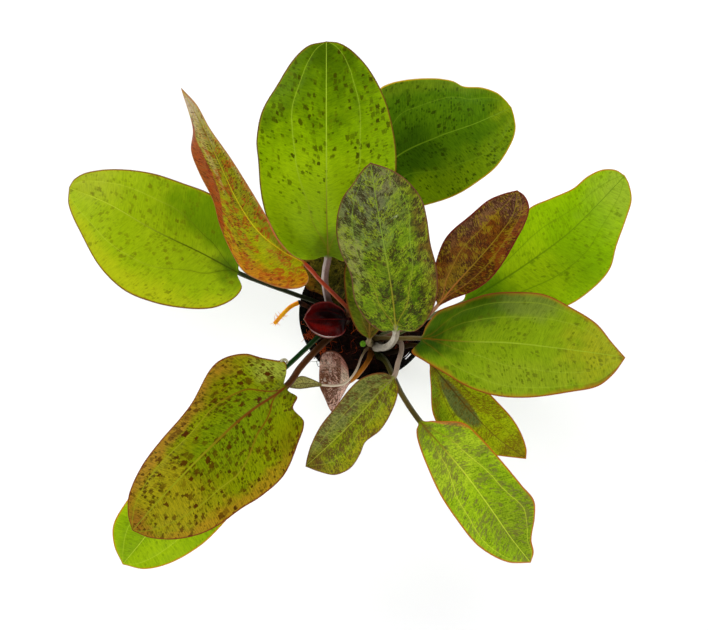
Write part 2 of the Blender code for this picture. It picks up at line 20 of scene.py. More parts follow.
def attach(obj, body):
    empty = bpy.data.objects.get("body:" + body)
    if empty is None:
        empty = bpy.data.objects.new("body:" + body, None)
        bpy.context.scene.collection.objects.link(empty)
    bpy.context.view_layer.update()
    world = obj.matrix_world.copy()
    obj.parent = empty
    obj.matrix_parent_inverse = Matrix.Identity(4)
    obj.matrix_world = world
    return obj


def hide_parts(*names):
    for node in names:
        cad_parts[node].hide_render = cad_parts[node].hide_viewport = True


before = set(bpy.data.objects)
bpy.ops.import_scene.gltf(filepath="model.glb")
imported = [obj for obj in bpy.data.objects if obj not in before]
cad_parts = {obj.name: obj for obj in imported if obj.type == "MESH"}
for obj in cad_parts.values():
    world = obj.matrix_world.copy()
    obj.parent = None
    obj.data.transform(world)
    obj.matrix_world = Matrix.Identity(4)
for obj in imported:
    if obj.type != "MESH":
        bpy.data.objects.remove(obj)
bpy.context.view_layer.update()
LOG = logging.getLogger("potted_echinodorus")

MM = 0.001
BODY = "root"
SEED = 20

Colour = tuple[float, float, float]
Points = Sequence[Sequence[float]]


def tint(red: float, green: float, blue: float) -> Colour:
    """Turn a screen colour of 0 to 255 into the linear colour that a shader takes.

    Args:
        red: The red share on the screen.
        green: The green share.
        blue: The blue share.

    Returns:
        The linear red, green and blue, from 0 to 1.
    """
    return tuple(
        share / 12.92 if share <= 0.04045 else ((share + 0.055) / 1.055) ** 2.4
        for share in (red / 255, green / 255, blue / 255)
    )


class Value:
    """A number's socket, on which arithmetic adds Math nodes."""

    def __init__(self, graph: "Graph", socket: bpy.types.NodeSocket) -> None:
        """Keep the socket and the graph that its nodes go to."""
        self.graph = graph
        self.socket = socket

    def maths(self, operation: str, *others: Any) -> "Value":
        """Return a Math node's result on this value and the others."""
        inputs = dict(enumerate((self, *others)))
        node = self.graph.add("ShaderNodeMath", {"operation": operation}, inputs)
        return Value(self.graph, node.outputs[0])

    def __add__(self, other: Any) -> "Value":
        """Return the sum."""
        return self.maths("ADD", other)

    __radd__ = __add__

    def __sub__(self, other: Any) -> "Value":
        """Return the difference."""
        return self.maths("SUBTRACT", other)

    def __rsub__(self, other: float) -> "Value":
        """Return the difference from a plain number."""
        return self * -1.0 + other

    def __mul__(self, other: Any) -> "Value":
        """Return the product."""
        return self.maths("MULTIPLY", other)

    __rmul__ = __mul__

    def __truediv__(self, other: Any) -> "Value":
        """Return the quotient."""
        return self.maths("DIVIDE", other)

    def __pow__(self, other: float) -> "Value":
        """Return the power."""
        return self.maths("POWER", other)

    def __abs__(self) -> "Value":
        """Return the size without its sign."""
        return self.maths("ABSOLUTE")

    def smallest(self, other: Any) -> "Value":
        """Return the smaller of two values."""
        return self.maths("MINIMUM", other)

    def step(self, start: float, end: float) -> "Value":
        """Return 0 before start and 1 after end, joined smoothly; start may be the larger."""
        low, high = min(start, end), max(start, end)
        node = self.graph.add(
            "ShaderNodeMapRange",
            {"interpolation_type": "SMOOTHSTEP"},
            {"Value": self, "From Min": low, "From Max": high, "To Min": 0.0, "To Max": 1.0},
        )
        rising = Value(self.graph, node.outputs[0])
        return rising if start < end else 1 - rising


class Graph:
    """A material's or a world's nodes, added by type, settings and inputs."""

    def __init__(self, tree: bpy.types.NodeTree) -> None:
        """Empty the tree."""
        self.tree = tree
        self.tree.nodes.clear()

    def add(self, kind: str, settings: dict[str, Any], inputs: dict[Any, Any]) -> bpy.types.Node:
        """Add one node.

        Args:
            kind: The node's type.
            settings: Its properties, such as a Math node's operation, which are set first.
            inputs: Values or links for its sockets, by name or number.

        Returns:
            The node.
        """
        node = self.tree.nodes.new(kind)
        for name, setting in settings.items():
            setattr(node, name, setting)
        for name, value in inputs.items():
            socket = value.socket if isinstance(value, Value) else value
            if isinstance(socket, bpy.types.NodeSocket):
                self.tree.links.new(socket, node.inputs[name])
            elif isinstance(socket, tuple) and node.inputs[name].type == "RGBA":
                node.inputs[name].default_value = (*socket, 1.0)
            else:
                node.inputs[name].default_value = socket
        return node

    def parts(self, vector: bpy.types.NodeSocket) -> tuple[Value, Value, Value]:
        """Return a vector's three numbers."""
        node = self.add("ShaderNodeSeparateXYZ", {}, {0: vector})
        return tuple(Value(self, output) for output in node.outputs)

    def vector(self, x: Any, y: Any, z: Any = 0.0) -> bpy.types.NodeSocket:
        """Return a vector made of three numbers."""
        return self.add("ShaderNodeCombineXYZ", {}, {0: x, 1: y, 2: z}).outputs[0]

    def attribute(self, name: str) -> tuple[Value, Value, Value]:
        """Return the three numbers of a vector that the mesh carries."""
        settings = {"attribute_type": "GEOMETRY", "attribute_name": name}
        node = self.add("ShaderNodeAttribute", settings, {})
        return self.parts(node.outputs["Vector"])

    def noise(self, place: Any, scale: float, detail: float, rough: float = 0.5) -> Value:
        """Return cloudy noise of about 0.5, between 0 and 1."""
        inputs = {"Vector": place, "Scale": scale, "Detail": detail, "Roughness": rough}
        return Value(self, self.add("ShaderNodeTexNoise", {}, inputs).outputs[0])

    def mix(self, share: Any, first: Any, second: Any, blend: str = "MIX") -> bpy.types.NodeSocket:
        """Return two colours mixed by a share."""
        settings = {"data_type": "RGBA", "blend_type": blend}
        return self.add("ShaderNodeMix", settings, {0: share, 6: first, 7: second}).outputs[2]

    def bump(self, height: Value, distance: float, strength: float = 1.0) -> bpy.types.NodeSocket:
        """Return a normal that a height in shares of a distance in metres bends."""
        inputs = {"Height": height, "Distance": distance, "Strength": strength}
        return self.add("ShaderNodeBump", {}, inputs).outputs[0]


@dataclass(frozen=True)
class Gloss:
    """How a surface shines, apart from its colour."""

    roughness: float
    specular: float = 0.3


class Finish:
    """A material with one Principled shader."""

    def __init__(self, name: str, gloss: Gloss) -> None:
        """Make the material and its empty graph."""
        self.material = bpy.data.materials.new(name)
        self.material.use_nodes = True
        self.graph = Graph(self.material.node_tree)
        self.gloss = gloss

    def close(self, colour: Any, roughness: Any = None, normal: Any = None) -> bpy.types.Material:
        """Add the shader and the output.

        Args:
            colour: The colour or its link.
            roughness: A link for the roughness, where it varies.
            normal: A link for the bent normal.

        Returns:
            The finished material.
        """
        inputs = {
            "Base Color": colour,
            "Roughness": self.gloss.roughness if roughness is None else roughness,
            "Specular IOR Level": self.gloss.specular,
        }
        if normal is not None:
            inputs["Normal"] = normal
        shader = self.graph.add("ShaderNodeBsdfPrincipled", {}, inputs)
        self.graph.add("ShaderNodeOutputMaterial", {}, {"Surface": shader.outputs[0]})
        return self.material


class SmoothCurve:
    """A smooth curve through points, read by its share of length."""

    def __init__(self, points: Points) -> None:
        """Measure the steps and find the direction at every point."""
        self.points = np.array(points, float)
        chords = np.diff(self.points, axis=0)
        self.steps = np.linalg.norm(chords, axis=1)
        self.ends = np.concatenate(([0.0], np.cumsum(self.steps)))
        self.slopes = np.empty_like(self.points)
        self.slopes[0] = chords[0] / self.steps[0]
        self.slopes[-1] = chords[-1] / self.steps[-1]
        spans = (self.steps[1:] + self.steps[:-1])[:, None]
        self.slopes[1:-1] = (chords[1:] + chords[:-1]) / spans

    @property
    def length(self) -> float:
        """The summed length of the steps."""
        return float(self.ends[-1])

    def at(self, share: np.ndarray) -> np.ndarray:
        """Return the points at these shares of the length, one row each."""
        distance = np.clip(share, 0.0, 1.0) * self.length
        index = np.clip(np.searchsorted(self.ends, distance) - 1, 0, len(self.steps) - 1)
        step = self.steps[index][:, None]
        part = (distance - self.ends[index])[:, None] / step
        square, cube = part ** 2, part ** 3
        return (
            self.points[index] * (2 * cube - 3 * square + 1)
            + self.slopes[index] * step * (cube - 2 * square + part)
            + self.points[index + 1] * (3 * square - 2 * cube)
            + self.slopes[index + 1] * step * (cube - square)
        )


def values_along(values: Sequence[float], share: np.ndarray) -> np.ndarray:
    """Return the values at these shares of a way along which they stand at even steps."""
    table = np.array(values, float)
    place = np.clip(share, 0.0, 1.0) * (len(table) - 1)
    index = np.minimum(place.astype(int), len(table) - 2)
    part = place - index
    blend = part * part * (3 - 2 * part)
    return table[index] * (1 - blend) + table[index + 1] * blend


def unit(vectors: np.ndarray) -> np.ndarray:
    """Return vectors of length one."""
    return vectors / np.maximum(np.linalg.norm(vectors, axis=-1, keepdims=True), 1e-9)


def smooth(values: np.ndarray) -> np.ndarray:
    """Return a smooth step of values between 0 and 1."""
    part = np.clip(values, 0.0, 1.0)
    return part * part * (3 - 2 * part)


def ring_angles(count: int) -> np.ndarray:
    """Return the angles of points spaced evenly round a ring."""
    return np.linspace(0, 2 * math.pi, count, endpoint=False)


def top_and_underside(top: int) -> np.ndarray:
    """Return a ring's angles from its left over the top and back below, with top of them above."""
    return np.concatenate((np.linspace(math.pi, 0, top), np.linspace(0, -math.pi, top)[1:-1]))


def level_ring(
    radius: Any, angles: np.ndarray, height: Any, x: float = 0.0, y: float = 0.0
) -> np.ndarray:
    """Return a level ring of points.

    Args:
        radius: Its radius, or the radius at each angle.
        angles: The points' angles.
        height: Its height, or the height at each angle.
        x: Where its middle lies.
        y: Where its middle lies.

    Returns:
        The points, one row each.
    """
    level = height + np.zeros_like(angles)
    return np.stack((x + radius * np.cos(angles), y + radius * np.sin(angles), level), axis=1)


def across_route(side: np.ndarray, up: np.ndarray, angles: np.ndarray) -> np.ndarray:
    """Return rings of directions across a route, from its sideways and upward ones."""
    turned = np.cos(angles)[None, :, None], np.sin(angles)[None, :, None]
    return side[:, None] * turned[0] + up[:, None] * turned[1]


def add_object(name: str, data: Any) -> bpy.types.Object:
    """Put a mesh, a light or a camera in the scene."""
    thing = bpy.data.objects.new(name, data)
    bpy.context.scene.collection.objects.link(thing)
    return thing


def mesh_object(
    name: str, points: np.ndarray, faces: list, smooth_shade: bool = True
) -> bpy.types.Object:
    """Put a mesh in the scene.

    Args:
        name: The piece's name.
        points: Its points in millimetres, one row each.
        faces: The indices of each face's points.
        smooth_shade: Whether the faces are shaded as one round surface.

    Returns:
        The object.
    """
    mesh = bpy.data.meshes.new(name)
    mesh.from_pydata((points * MM).tolist(), [], faces)
    if smooth_shade:
        mesh.shade_smooth()
    return add_object(name, mesh)


def settle(thing: bpy.types.Object, material: bpy.types.Material, slot: str, *nodes: str) -> None:
    """Dress a piece, seat it on the body, and hide the CAD nodes that it stands for.

    Args:
        thing: The piece.
        material: Its material.
        slot: Not used.
        nodes: The CAD nodes that the piece replaces.
    """
    thing.data.materials.clear()
    thing.data.materials.append(material)
    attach(thing, BODY)
    if nodes:
        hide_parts(*nodes)
    LOG.info("%s: %d faces", thing.name, len(thing.data.polygons))


def ring_faces(rings: int, count: int, closed_start: bool, closed_end: bool) -> list:
    """Return the faces of a loft of equal rings, with flat ends where they are closed."""
    faces = []
    for ring in range(rings - 1):
        start, end = ring * count, (ring + 1) * count
        for index in range(count):
            following = (index + 1) % count
            faces.append((start + index, start + following, end + following, end + index))
    if closed_start:
        faces.append(tuple(range(count))[::-1])
    if closed_end:
        faces.append(tuple(range((rings - 1) * count, rings * count)))
    return faces


def loft(name: str, rings: list) -> bpy.types.Object:
    """Make a closed mesh over rings of equal counts, with flat ends."""
    faces = ring_faces(len(rings), len(rings[0]), True, True)
    return mesh_object(name, np.concatenate(rings), faces)


@dataclass(frozen=True)
class Wash:
    """A soft-edged patch of another colour on a blade; some patches are the leaf's own colour,
    others painted shade, sheen and highlights.

    u runs from 0 at the stalk to 1 at the tip, v from -1 at the left margin to 1 at
    the right one, and long and wide are the patch's half-lengths along them.
    """

    colour: Colour
    u: float
    v: float
    long: float
    wide: float
    strength: float = 0.8
    soft: float = 0.8


class Marks(Enum):
    """The kinds of mark on a blade, as (lean along the cross veins, raggedness)."""

    DASHES = (0.3, 0.35)
    BLOTCHES = (0.3, 0.8)
    MOTTLE = (0.6, 1.6)


@dataclass(frozen=True)
class Spots:
    """Small marks of one kind, scattered in clusters over a blade."""

    kind: Marks
    colour: Colour
    long: float
    wide: float
    share: float
    strength: float = 0.8
    cluster: float = 0.12
    u: float = 0.5
    reach: float = 0.9


@dataclass(frozen=True)
class LeafFinish:
    """The colours and markings of one leaf; every colour is a screen colour of 0 to 255."""

    body: Colour
    shade: Colour
    margin: Colour
    vein: Colour
    rib: Colour
    stalk_low: Colour
    stalk_high: Colour
    washes: tuple[Wash, ...] = ()
    spots: tuple[Spots, ...] = ()
    edge: Colour = (90, 40, 15)
    edge_width: float = 0.46
    margin_width: float = 1.2
    margin_share: float = 0.5
    rib_reach: float = 0.35
    rib_width: float = 0.12
    vein_share: float = 0.5
    vein_width: float = 0.22
    grain: float = 0.2
    # Strength of the painted shade and highlight along the fine vein relief, which also varies the
    # leaf's tone.
    streak: float = 0.8
    # A painted highlight: the paler stripe down the left side of the stalk.
    stalk_highlight: Colour = (120, 120, 100)
    stalk_highlight_share: float = 0.25
    gloss: Gloss = Gloss(0.4, 0.03)


@dataclass(frozen=True)
class LeafShape:
    """One leaf's form, with the stalk and rib as (x, y, z) and the margins as (x, y) points.

    A lift is the height of a margin over the rib at even steps from base to tip, and a
    vein is the share of the half blade at which a side vein runs, at even steps too.
    """

    name: str
    radius: float
    stalk: Points
    rib: Points
    left: Points
    right: Points
    left_lift: tuple[float, ...]
    right_lift: tuple[float, ...]
    left_veins: tuple[tuple[float, ...], ...] = ((0.05, 0.42, 0.5, 0.5, 0.45),)
    right_veins: tuple[tuple[float, ...], ...] = ((0.05, 0.42, 0.5, 0.5, 0.45),)
    wave: float = 0.25
    waves: float = 5.0


class LeafPaint(Finish):
    """The material of one leaf, from its finish.

    A noise lies about HALF. A pair named EDGE is where a smooth step starts and ends, a
    LINE or a BAND is such a pair in millimetres, and a TURN sets one noise of the leaf
    apart from its others.
    """

    HALF = 0.5
    BLADE_EDGE = (0.0, 0.03)
    STREAK_DETAIL, STREAK_ROUGH = 3.0, 0.6
    WASH_STRAY, WASH_OUTER, WASH_INNER = 1.4, 0.3, 0.7
    CLUSTER_EDGE, CLUSTER_TURN, CLUSTER_FIRST = (0.36, 0.6), 7.0, 5.0
    REACH_FADE, CHANCE = 0.55, 2.0
    MOTTLE_STRAY, MOTTLE_TURN, MOTTLE_DETAIL = 0.6, 4.0, 2.5
    MOTTLE_CHANCE, MOTTLE_LEVEL, MOTTLE_EDGE = 0.2, 0.66, (0.0, 0.1)
    CELL_STRAY, CELL_TURN, CELL_SHIFT = 1.1, 3.0, 11.0
    CELL_SEED, CELL_STEP, CELL_RANDOM = 3.0, 40.0, 0.8
    CELL_PICK, CELL_EDGE = (-0.02, 0.03), (1.2, 0.8)
    CELL_ROOM, CELL_LEAST_ROOM = 0.22, 0.2
    CELL_DEPTH, CELL_LEAST_DEPTH = 0.65, 0.35
    VEIN_WANDER, WANDER_SCALE, WANDER_TURN = 0.25, 0.35, 31.0
    THIN_EDGE, THIN_SHARE, THICK_SHARE = (1.05, 0.3), 0.6, 0.4
    HALO_EDGE, HALO_SHARE, VEIN_CORE = (1.1, 0.2), 0.15, 0.35
    RIB_FAR, RIB_NEAR, RIB_START = 0.9, 0.25, 0.35
    RIB_WIDEN, RIB_LEAST, RIB_EDGE = 2.0, 0.18, (1.0, 0.5)
    RIB_VEIN_SHARE, RIB_SHARE = 0.45, 0.5
    BAND_SCALE, BAND_TURN, BAND_UNEVEN, BAND_LEAST = 0.22, 17.0, 1.6, 0.2
    LINE_OUTER, LINE_INNER, LINE_SHARE = 1.6, 0.5, 0.85
    STALK_EDGE, STALK_LIGHT_EDGE = (0.1, 0.9), (-0.35, -0.8)
    STALK_FLECK_EDGE, STALK_FLECK_SHARE = (0.35, 0.7), 0.35
    RAGGED_SCALE, RAGGED_TURN = 0.16, 23.0
    GRAIN_SCALE, GRAIN_TURN = 1.8, 61.0
    SHADE_SCALE, SHADE_EDGE = 0.07, (0.35, 0.68)
    # Edges and tints of the painted shade and highlight of the fine vein relief; the tints also
    # shift the leaf's hue.
    STREAK_DARK, STREAK_LIGHT, STREAK_SHARE = 0.72, 0.28, 0.5
    RELIEF_DARK, RELIEF_LIGHT = 0.63, 0.37
    DARKER, LIGHTER = (0.42, 0.46, 0.4), (1.42, 1.34, 1.2)
    UNDERSIDE, UNDERSIDE_SHARE = tint(150, 165, 95), 0.4
    HEIGHT_STREAK, HEIGHT_FINE, HEIGHT_CLOUD = 0.6, 0.35, 0.5
    HEIGHT_SCALE, HEIGHT_TURN = 0.9, 41.0
    ROUGH_SCALE, ROUGH_TURN, ROUGH_SPREAD = 0.8, 51.0, 0.16
    BUMP_METRES, BUMP_STRENGTH = 0.00022, 0.8

    def __init__(self, name: str, finish: LeafFinish, seed: float) -> None:
        """Read where each point lies on the leaf."""
        super().__init__(name, finish.gloss)
        self.finish = finish
        self.seed = seed
        self.along, self.across, self.u = self.graph.attribute("leaf_place")
        self.edge, self.first_vein, self.second_vein = self.graph.attribute("leaf_lines")
        self.v, self.under, self.stalk = self.graph.attribute("leaf_side")
        self.blade = self.u.step(*self.BLADE_EDGE)

    def cloud(self, scale: float, detail: float = 2.0, turn: float = 0.0) -> Value:
        """Return noise on the blade with features of 1/scale millimetres."""
        place = self.graph.vector(self.along, self.across, self.seed + turn)
        return self.graph.noise(place, scale, detail)

    def slant(self, lean: float) -> Value:
        """Return the way along the leaf, leaning like the cross veins."""
        return self.along - abs(self.across) * lean

    def streaks(self, fine: float, coarse: float, lean: float = 0.3) -> Value:
        """Return noise drawn out along the cross veins."""
        place = self.graph.vector(self.slant(lean) * fine, self.across * coarse, self.seed)
        return self.graph.noise(place, 1.0, self.STREAK_DETAIL, self.STREAK_ROUGH)

    def wash(self, colour: Any, patch: Wash, ragged: Value) -> bpy.types.NodeSocket:
        """Return the colour with one soft patch laid on it."""
        far = ((self.u - patch.u) / patch.long) ** 2.0
        side = ((self.v - patch.v) / patch.wide) ** 2.0
        place = (far + side) ** 0.5 + (ragged - self.HALF) * self.WASH_STRAY * patch.soft
        start, end = 1 + self.WASH_OUTER * patch.soft, 1 - self.WASH_INNER * patch.soft
        return self.graph.mix(place.step(start, end) * patch.strength, colour, tint(*patch.colour))

    def spot(self, colour: Any, marks: Spots, index: int) -> bpy.types.NodeSocket:
        """Return the colour with one kind of mark laid on it."""
        turn = self.CLUSTER_TURN * index + self.CLUSTER_FIRST
        cluster = self.cloud(marks.cluster, 1.0, turn).step(*self.CLUSTER_EDGE)
        reach = abs(self.u - marks.u).step(marks.reach, marks.reach * self.REACH_FADE)
        chance = cluster * reach * marks.share * self.CHANCE
        draw = self.mottle if marks.kind is Marks.MOTTLE else self.cells
        mask = draw(marks, chance, index) * self.blade * marks.strength
        return self.graph.mix(mask, colour, tint(*marks.colour))

    def mottle(self, marks: Spots, chance: Value, index: int) -> Value:
        """Return where worm-like flecks lie, drawn out along the cross veins."""
        lean, ragged = marks.kind.value
        stray = self.cloud(self.MOTTLE_STRAY, 2.0, self.MOTTLE_TURN * index) - self.HALF
        slant = self.slant(lean) + stray * ragged
        place = self.graph.vector(slant / marks.long, self.across / marks.wide, self.seed + index)
        fleck = self.graph.noise(place, 1.0, self.MOTTLE_DETAIL, self.STREAK_ROUGH)
        level = fleck + chance * self.MOTTLE_CHANCE - self.MOTTLE_LEVEL
        return level.step(*self.MOTTLE_EDGE)

    def cells(self, marks: Spots, chance: Value, index: int) -> Value:
        """Return where small square cells are filled."""
        graph = self.graph
        lean, ragged = marks.kind.value
        turn = self.CELL_TURN * index
        stray = (self.cloud(self.CELL_STRAY, 3.0, turn) - self.HALF) * ragged
        shift = (self.cloud(self.CELL_STRAY, 3.0, turn + self.CELL_SHIFT) - self.HALF) * ragged
        start = self.seed * self.CELL_SEED + index * self.CELL_STEP
        along = self.slant(lean) / marks.long + stray + start
        place = graph.vector(along, self.across / marks.wide + shift + start)
        node = graph.add(
            "ShaderNodeTexVoronoi",
            {"voronoi_dimensions": "2D", "distance": "CHEBYCHEV", "feature": "F1"},
            {"Vector": place, "Scale": 1.0, "Randomness": self.CELL_RANDOM},
        )
        pick, size, depth = graph.parts(node.outputs["Color"])
        filled = (chance - pick).step(*self.CELL_PICK)
        room = size * self.CELL_ROOM + self.CELL_LEAST_ROOM
        inside = (Value(graph, node.outputs["Distance"]) / room).step(*self.CELL_EDGE)
        return filled * inside * (depth * self.CELL_DEPTH + self.CELL_LEAST_DEPTH)

    def lines(self, colour: Any) -> bpy.types.NodeSocket:
        """Return the colour with the side veins and the midrib drawn on it."""
        graph, finish = self.graph, self.finish
        wander = self.cloud(self.WANDER_SCALE, 1.0, self.WANDER_TURN) - self.HALF
        wander = wander * self.VEIN_WANDER
        side = abs(self.first_vein + wander).smallest(abs(self.second_vein + wander))
        side = side / (self.u.step(*self.THIN_EDGE) * self.THIN_SHARE + self.THICK_SHARE)
        halo = side.step(*self.HALO_EDGE) * self.HALO_SHARE
        line = side.step(finish.vein_width, finish.vein_width * self.VEIN_CORE)
        share = (halo + line).smallest(1.0) * finish.vein_share * self.blade
        reach = finish.rib_reach
        low = self.u.step(reach * self.RIB_FAR, reach * self.RIB_NEAR)
        vein_tone, rib_tone = tint(*finish.vein), tint(*finish.rib)
        colour = graph.mix(share, colour, graph.mix(low, vein_tone, rib_tone))
        width = (1 - self.u) * finish.rib_width * self.RIB_WIDEN + self.RIB_LEAST
        rib = (abs(self.across) / width).step(*self.RIB_EDGE) * self.blade
        high = self.u.step(reach * self.RIB_START, reach)
        share = rib * (finish.vein_share * self.RIB_VEIN_SHARE + self.RIB_SHARE)
        return graph.mix(share, colour, graph.mix(high, rib_tone, vein_tone))

    def rim(self, colour: Any) -> bpy.types.NodeSocket:
        """Return the colour with the tinted band and the thin line along the margin."""
        graph, finish = self.graph, self.finish
        uneven = self.cloud(self.BAND_SCALE, 2.0, self.BAND_TURN)
        uneven = uneven * self.BAND_UNEVEN + self.BAND_LEAST
        band = (self.edge / uneven).step(finish.margin_width, 0.0) * finish.margin_share
        colour = graph.mix(band * self.blade, colour, tint(*finish.margin))
        width = finish.edge_width
        line = self.edge.step(width * self.LINE_OUTER, width * self.LINE_INNER)
        return graph.mix(line * self.blade * self.LINE_SHARE, colour, tint(*finish.edge))

    def stem(self, colour: Any) -> bpy.types.NodeSocket:
        """Return the colour with the stalk's own below the blade, and a painted highlight stripe
        down the stalk's left side.
        """
        graph, finish = self.graph, self.finish
        low = self.stalk.step(*self.STALK_EDGE)
        low_tone = tint(*finish.stalk_low)
        tone = graph.mix(low, tint(*finish.stalk_high), low_tone)
        # Painted highlight: a paler stripe down the left side of the stalk.
        light = self.across.step(*self.STALK_LIGHT_EDGE) * finish.stalk_highlight_share
        tone = graph.mix(light, tone, tint(*finish.stalk_highlight))
        fleck = self.streaks(0.4, 2.2, 0.0).step(*self.STALK_FLECK_EDGE)
        tone = graph.mix(fleck * self.STALK_FLECK_SHARE, tone, low_tone)
        return graph.mix(self.blade, tone, colour)

    def shaded(self, colour: Any, streak: Value, fine: Value) -> bpy.types.NodeSocket:
        """Return the colour with painted shade and highlight of the fine vein relief laid on it,
        which also vary the leaf's tone.
        """
        graph, finish = self.graph, self.finish
        grain = self.cloud(self.GRAIN_SCALE, 2.0, self.GRAIN_TURN)
        relief = fine * (1 - finish.grain) + grain * finish.grain
        dark = graph.mix(1.0, colour, self.DARKER, "MULTIPLY")
        light = graph.mix(1.0, colour, self.LIGHTER, "MULTIPLY")
        for noise, end, share, tone in (
            (streak, self.STREAK_DARK, self.STREAK_SHARE, dark),
            (streak, self.STREAK_LIGHT, self.STREAK_SHARE, light),
            (relief, self.RELIEF_DARK, 1.0, dark),
            (relief, self.RELIEF_LIGHT, 1.0, light),
        ):
            colour = graph.mix(noise.step(self.HALF, end) * (finish.streak * share), colour, tone)
        return colour

    def paint(self) -> bpy.types.Material:
        """Return the finished material."""
        graph, finish = self.graph, self.finish
        ragged = self.cloud(self.RAGGED_SCALE, 3.0, self.RAGGED_TURN)
        streak = self.streaks(1.3, 0.25)
        fine = self.streaks(2.4, 0.45, 0.4)
        shade = self.cloud(self.SHADE_SCALE, 3.0).step(*self.SHADE_EDGE)
        colour = graph.mix(shade, tint(*finish.body), tint(*finish.shade))
        for patch in finish.washes:
            colour = self.wash(colour, patch, ragged)
        colour = self.shaded(colour, streak, fine)
        for index, marks in enumerate(finish.spots, start=1):
            colour = self.spot(colour, marks, index)
        for layer in (self.lines, self.rim, self.stem):
            colour = layer(colour)
        back = self.under * self.blade * self.UNDERSIDE_SHARE
        colour = graph.mix(back, colour, self.UNDERSIDE)
        cloud = self.cloud(self.HEIGHT_SCALE, 2.0, self.HEIGHT_TURN) * self.HEIGHT_CLOUD
        height = streak * self.HEIGHT_STREAK + fine * self.HEIGHT_FINE + cloud
        rough = self.cloud(self.ROUGH_SCALE, 2.0, self.ROUGH_TURN) * self.ROUGH_SPREAD
        rough = rough + (finish.gloss.roughness - self.ROUGH_SPREAD / 2)
        return self.close(colour, rough, graph.bump(height, self.BUMP_METRES, self.BUMP_STRENGTH))


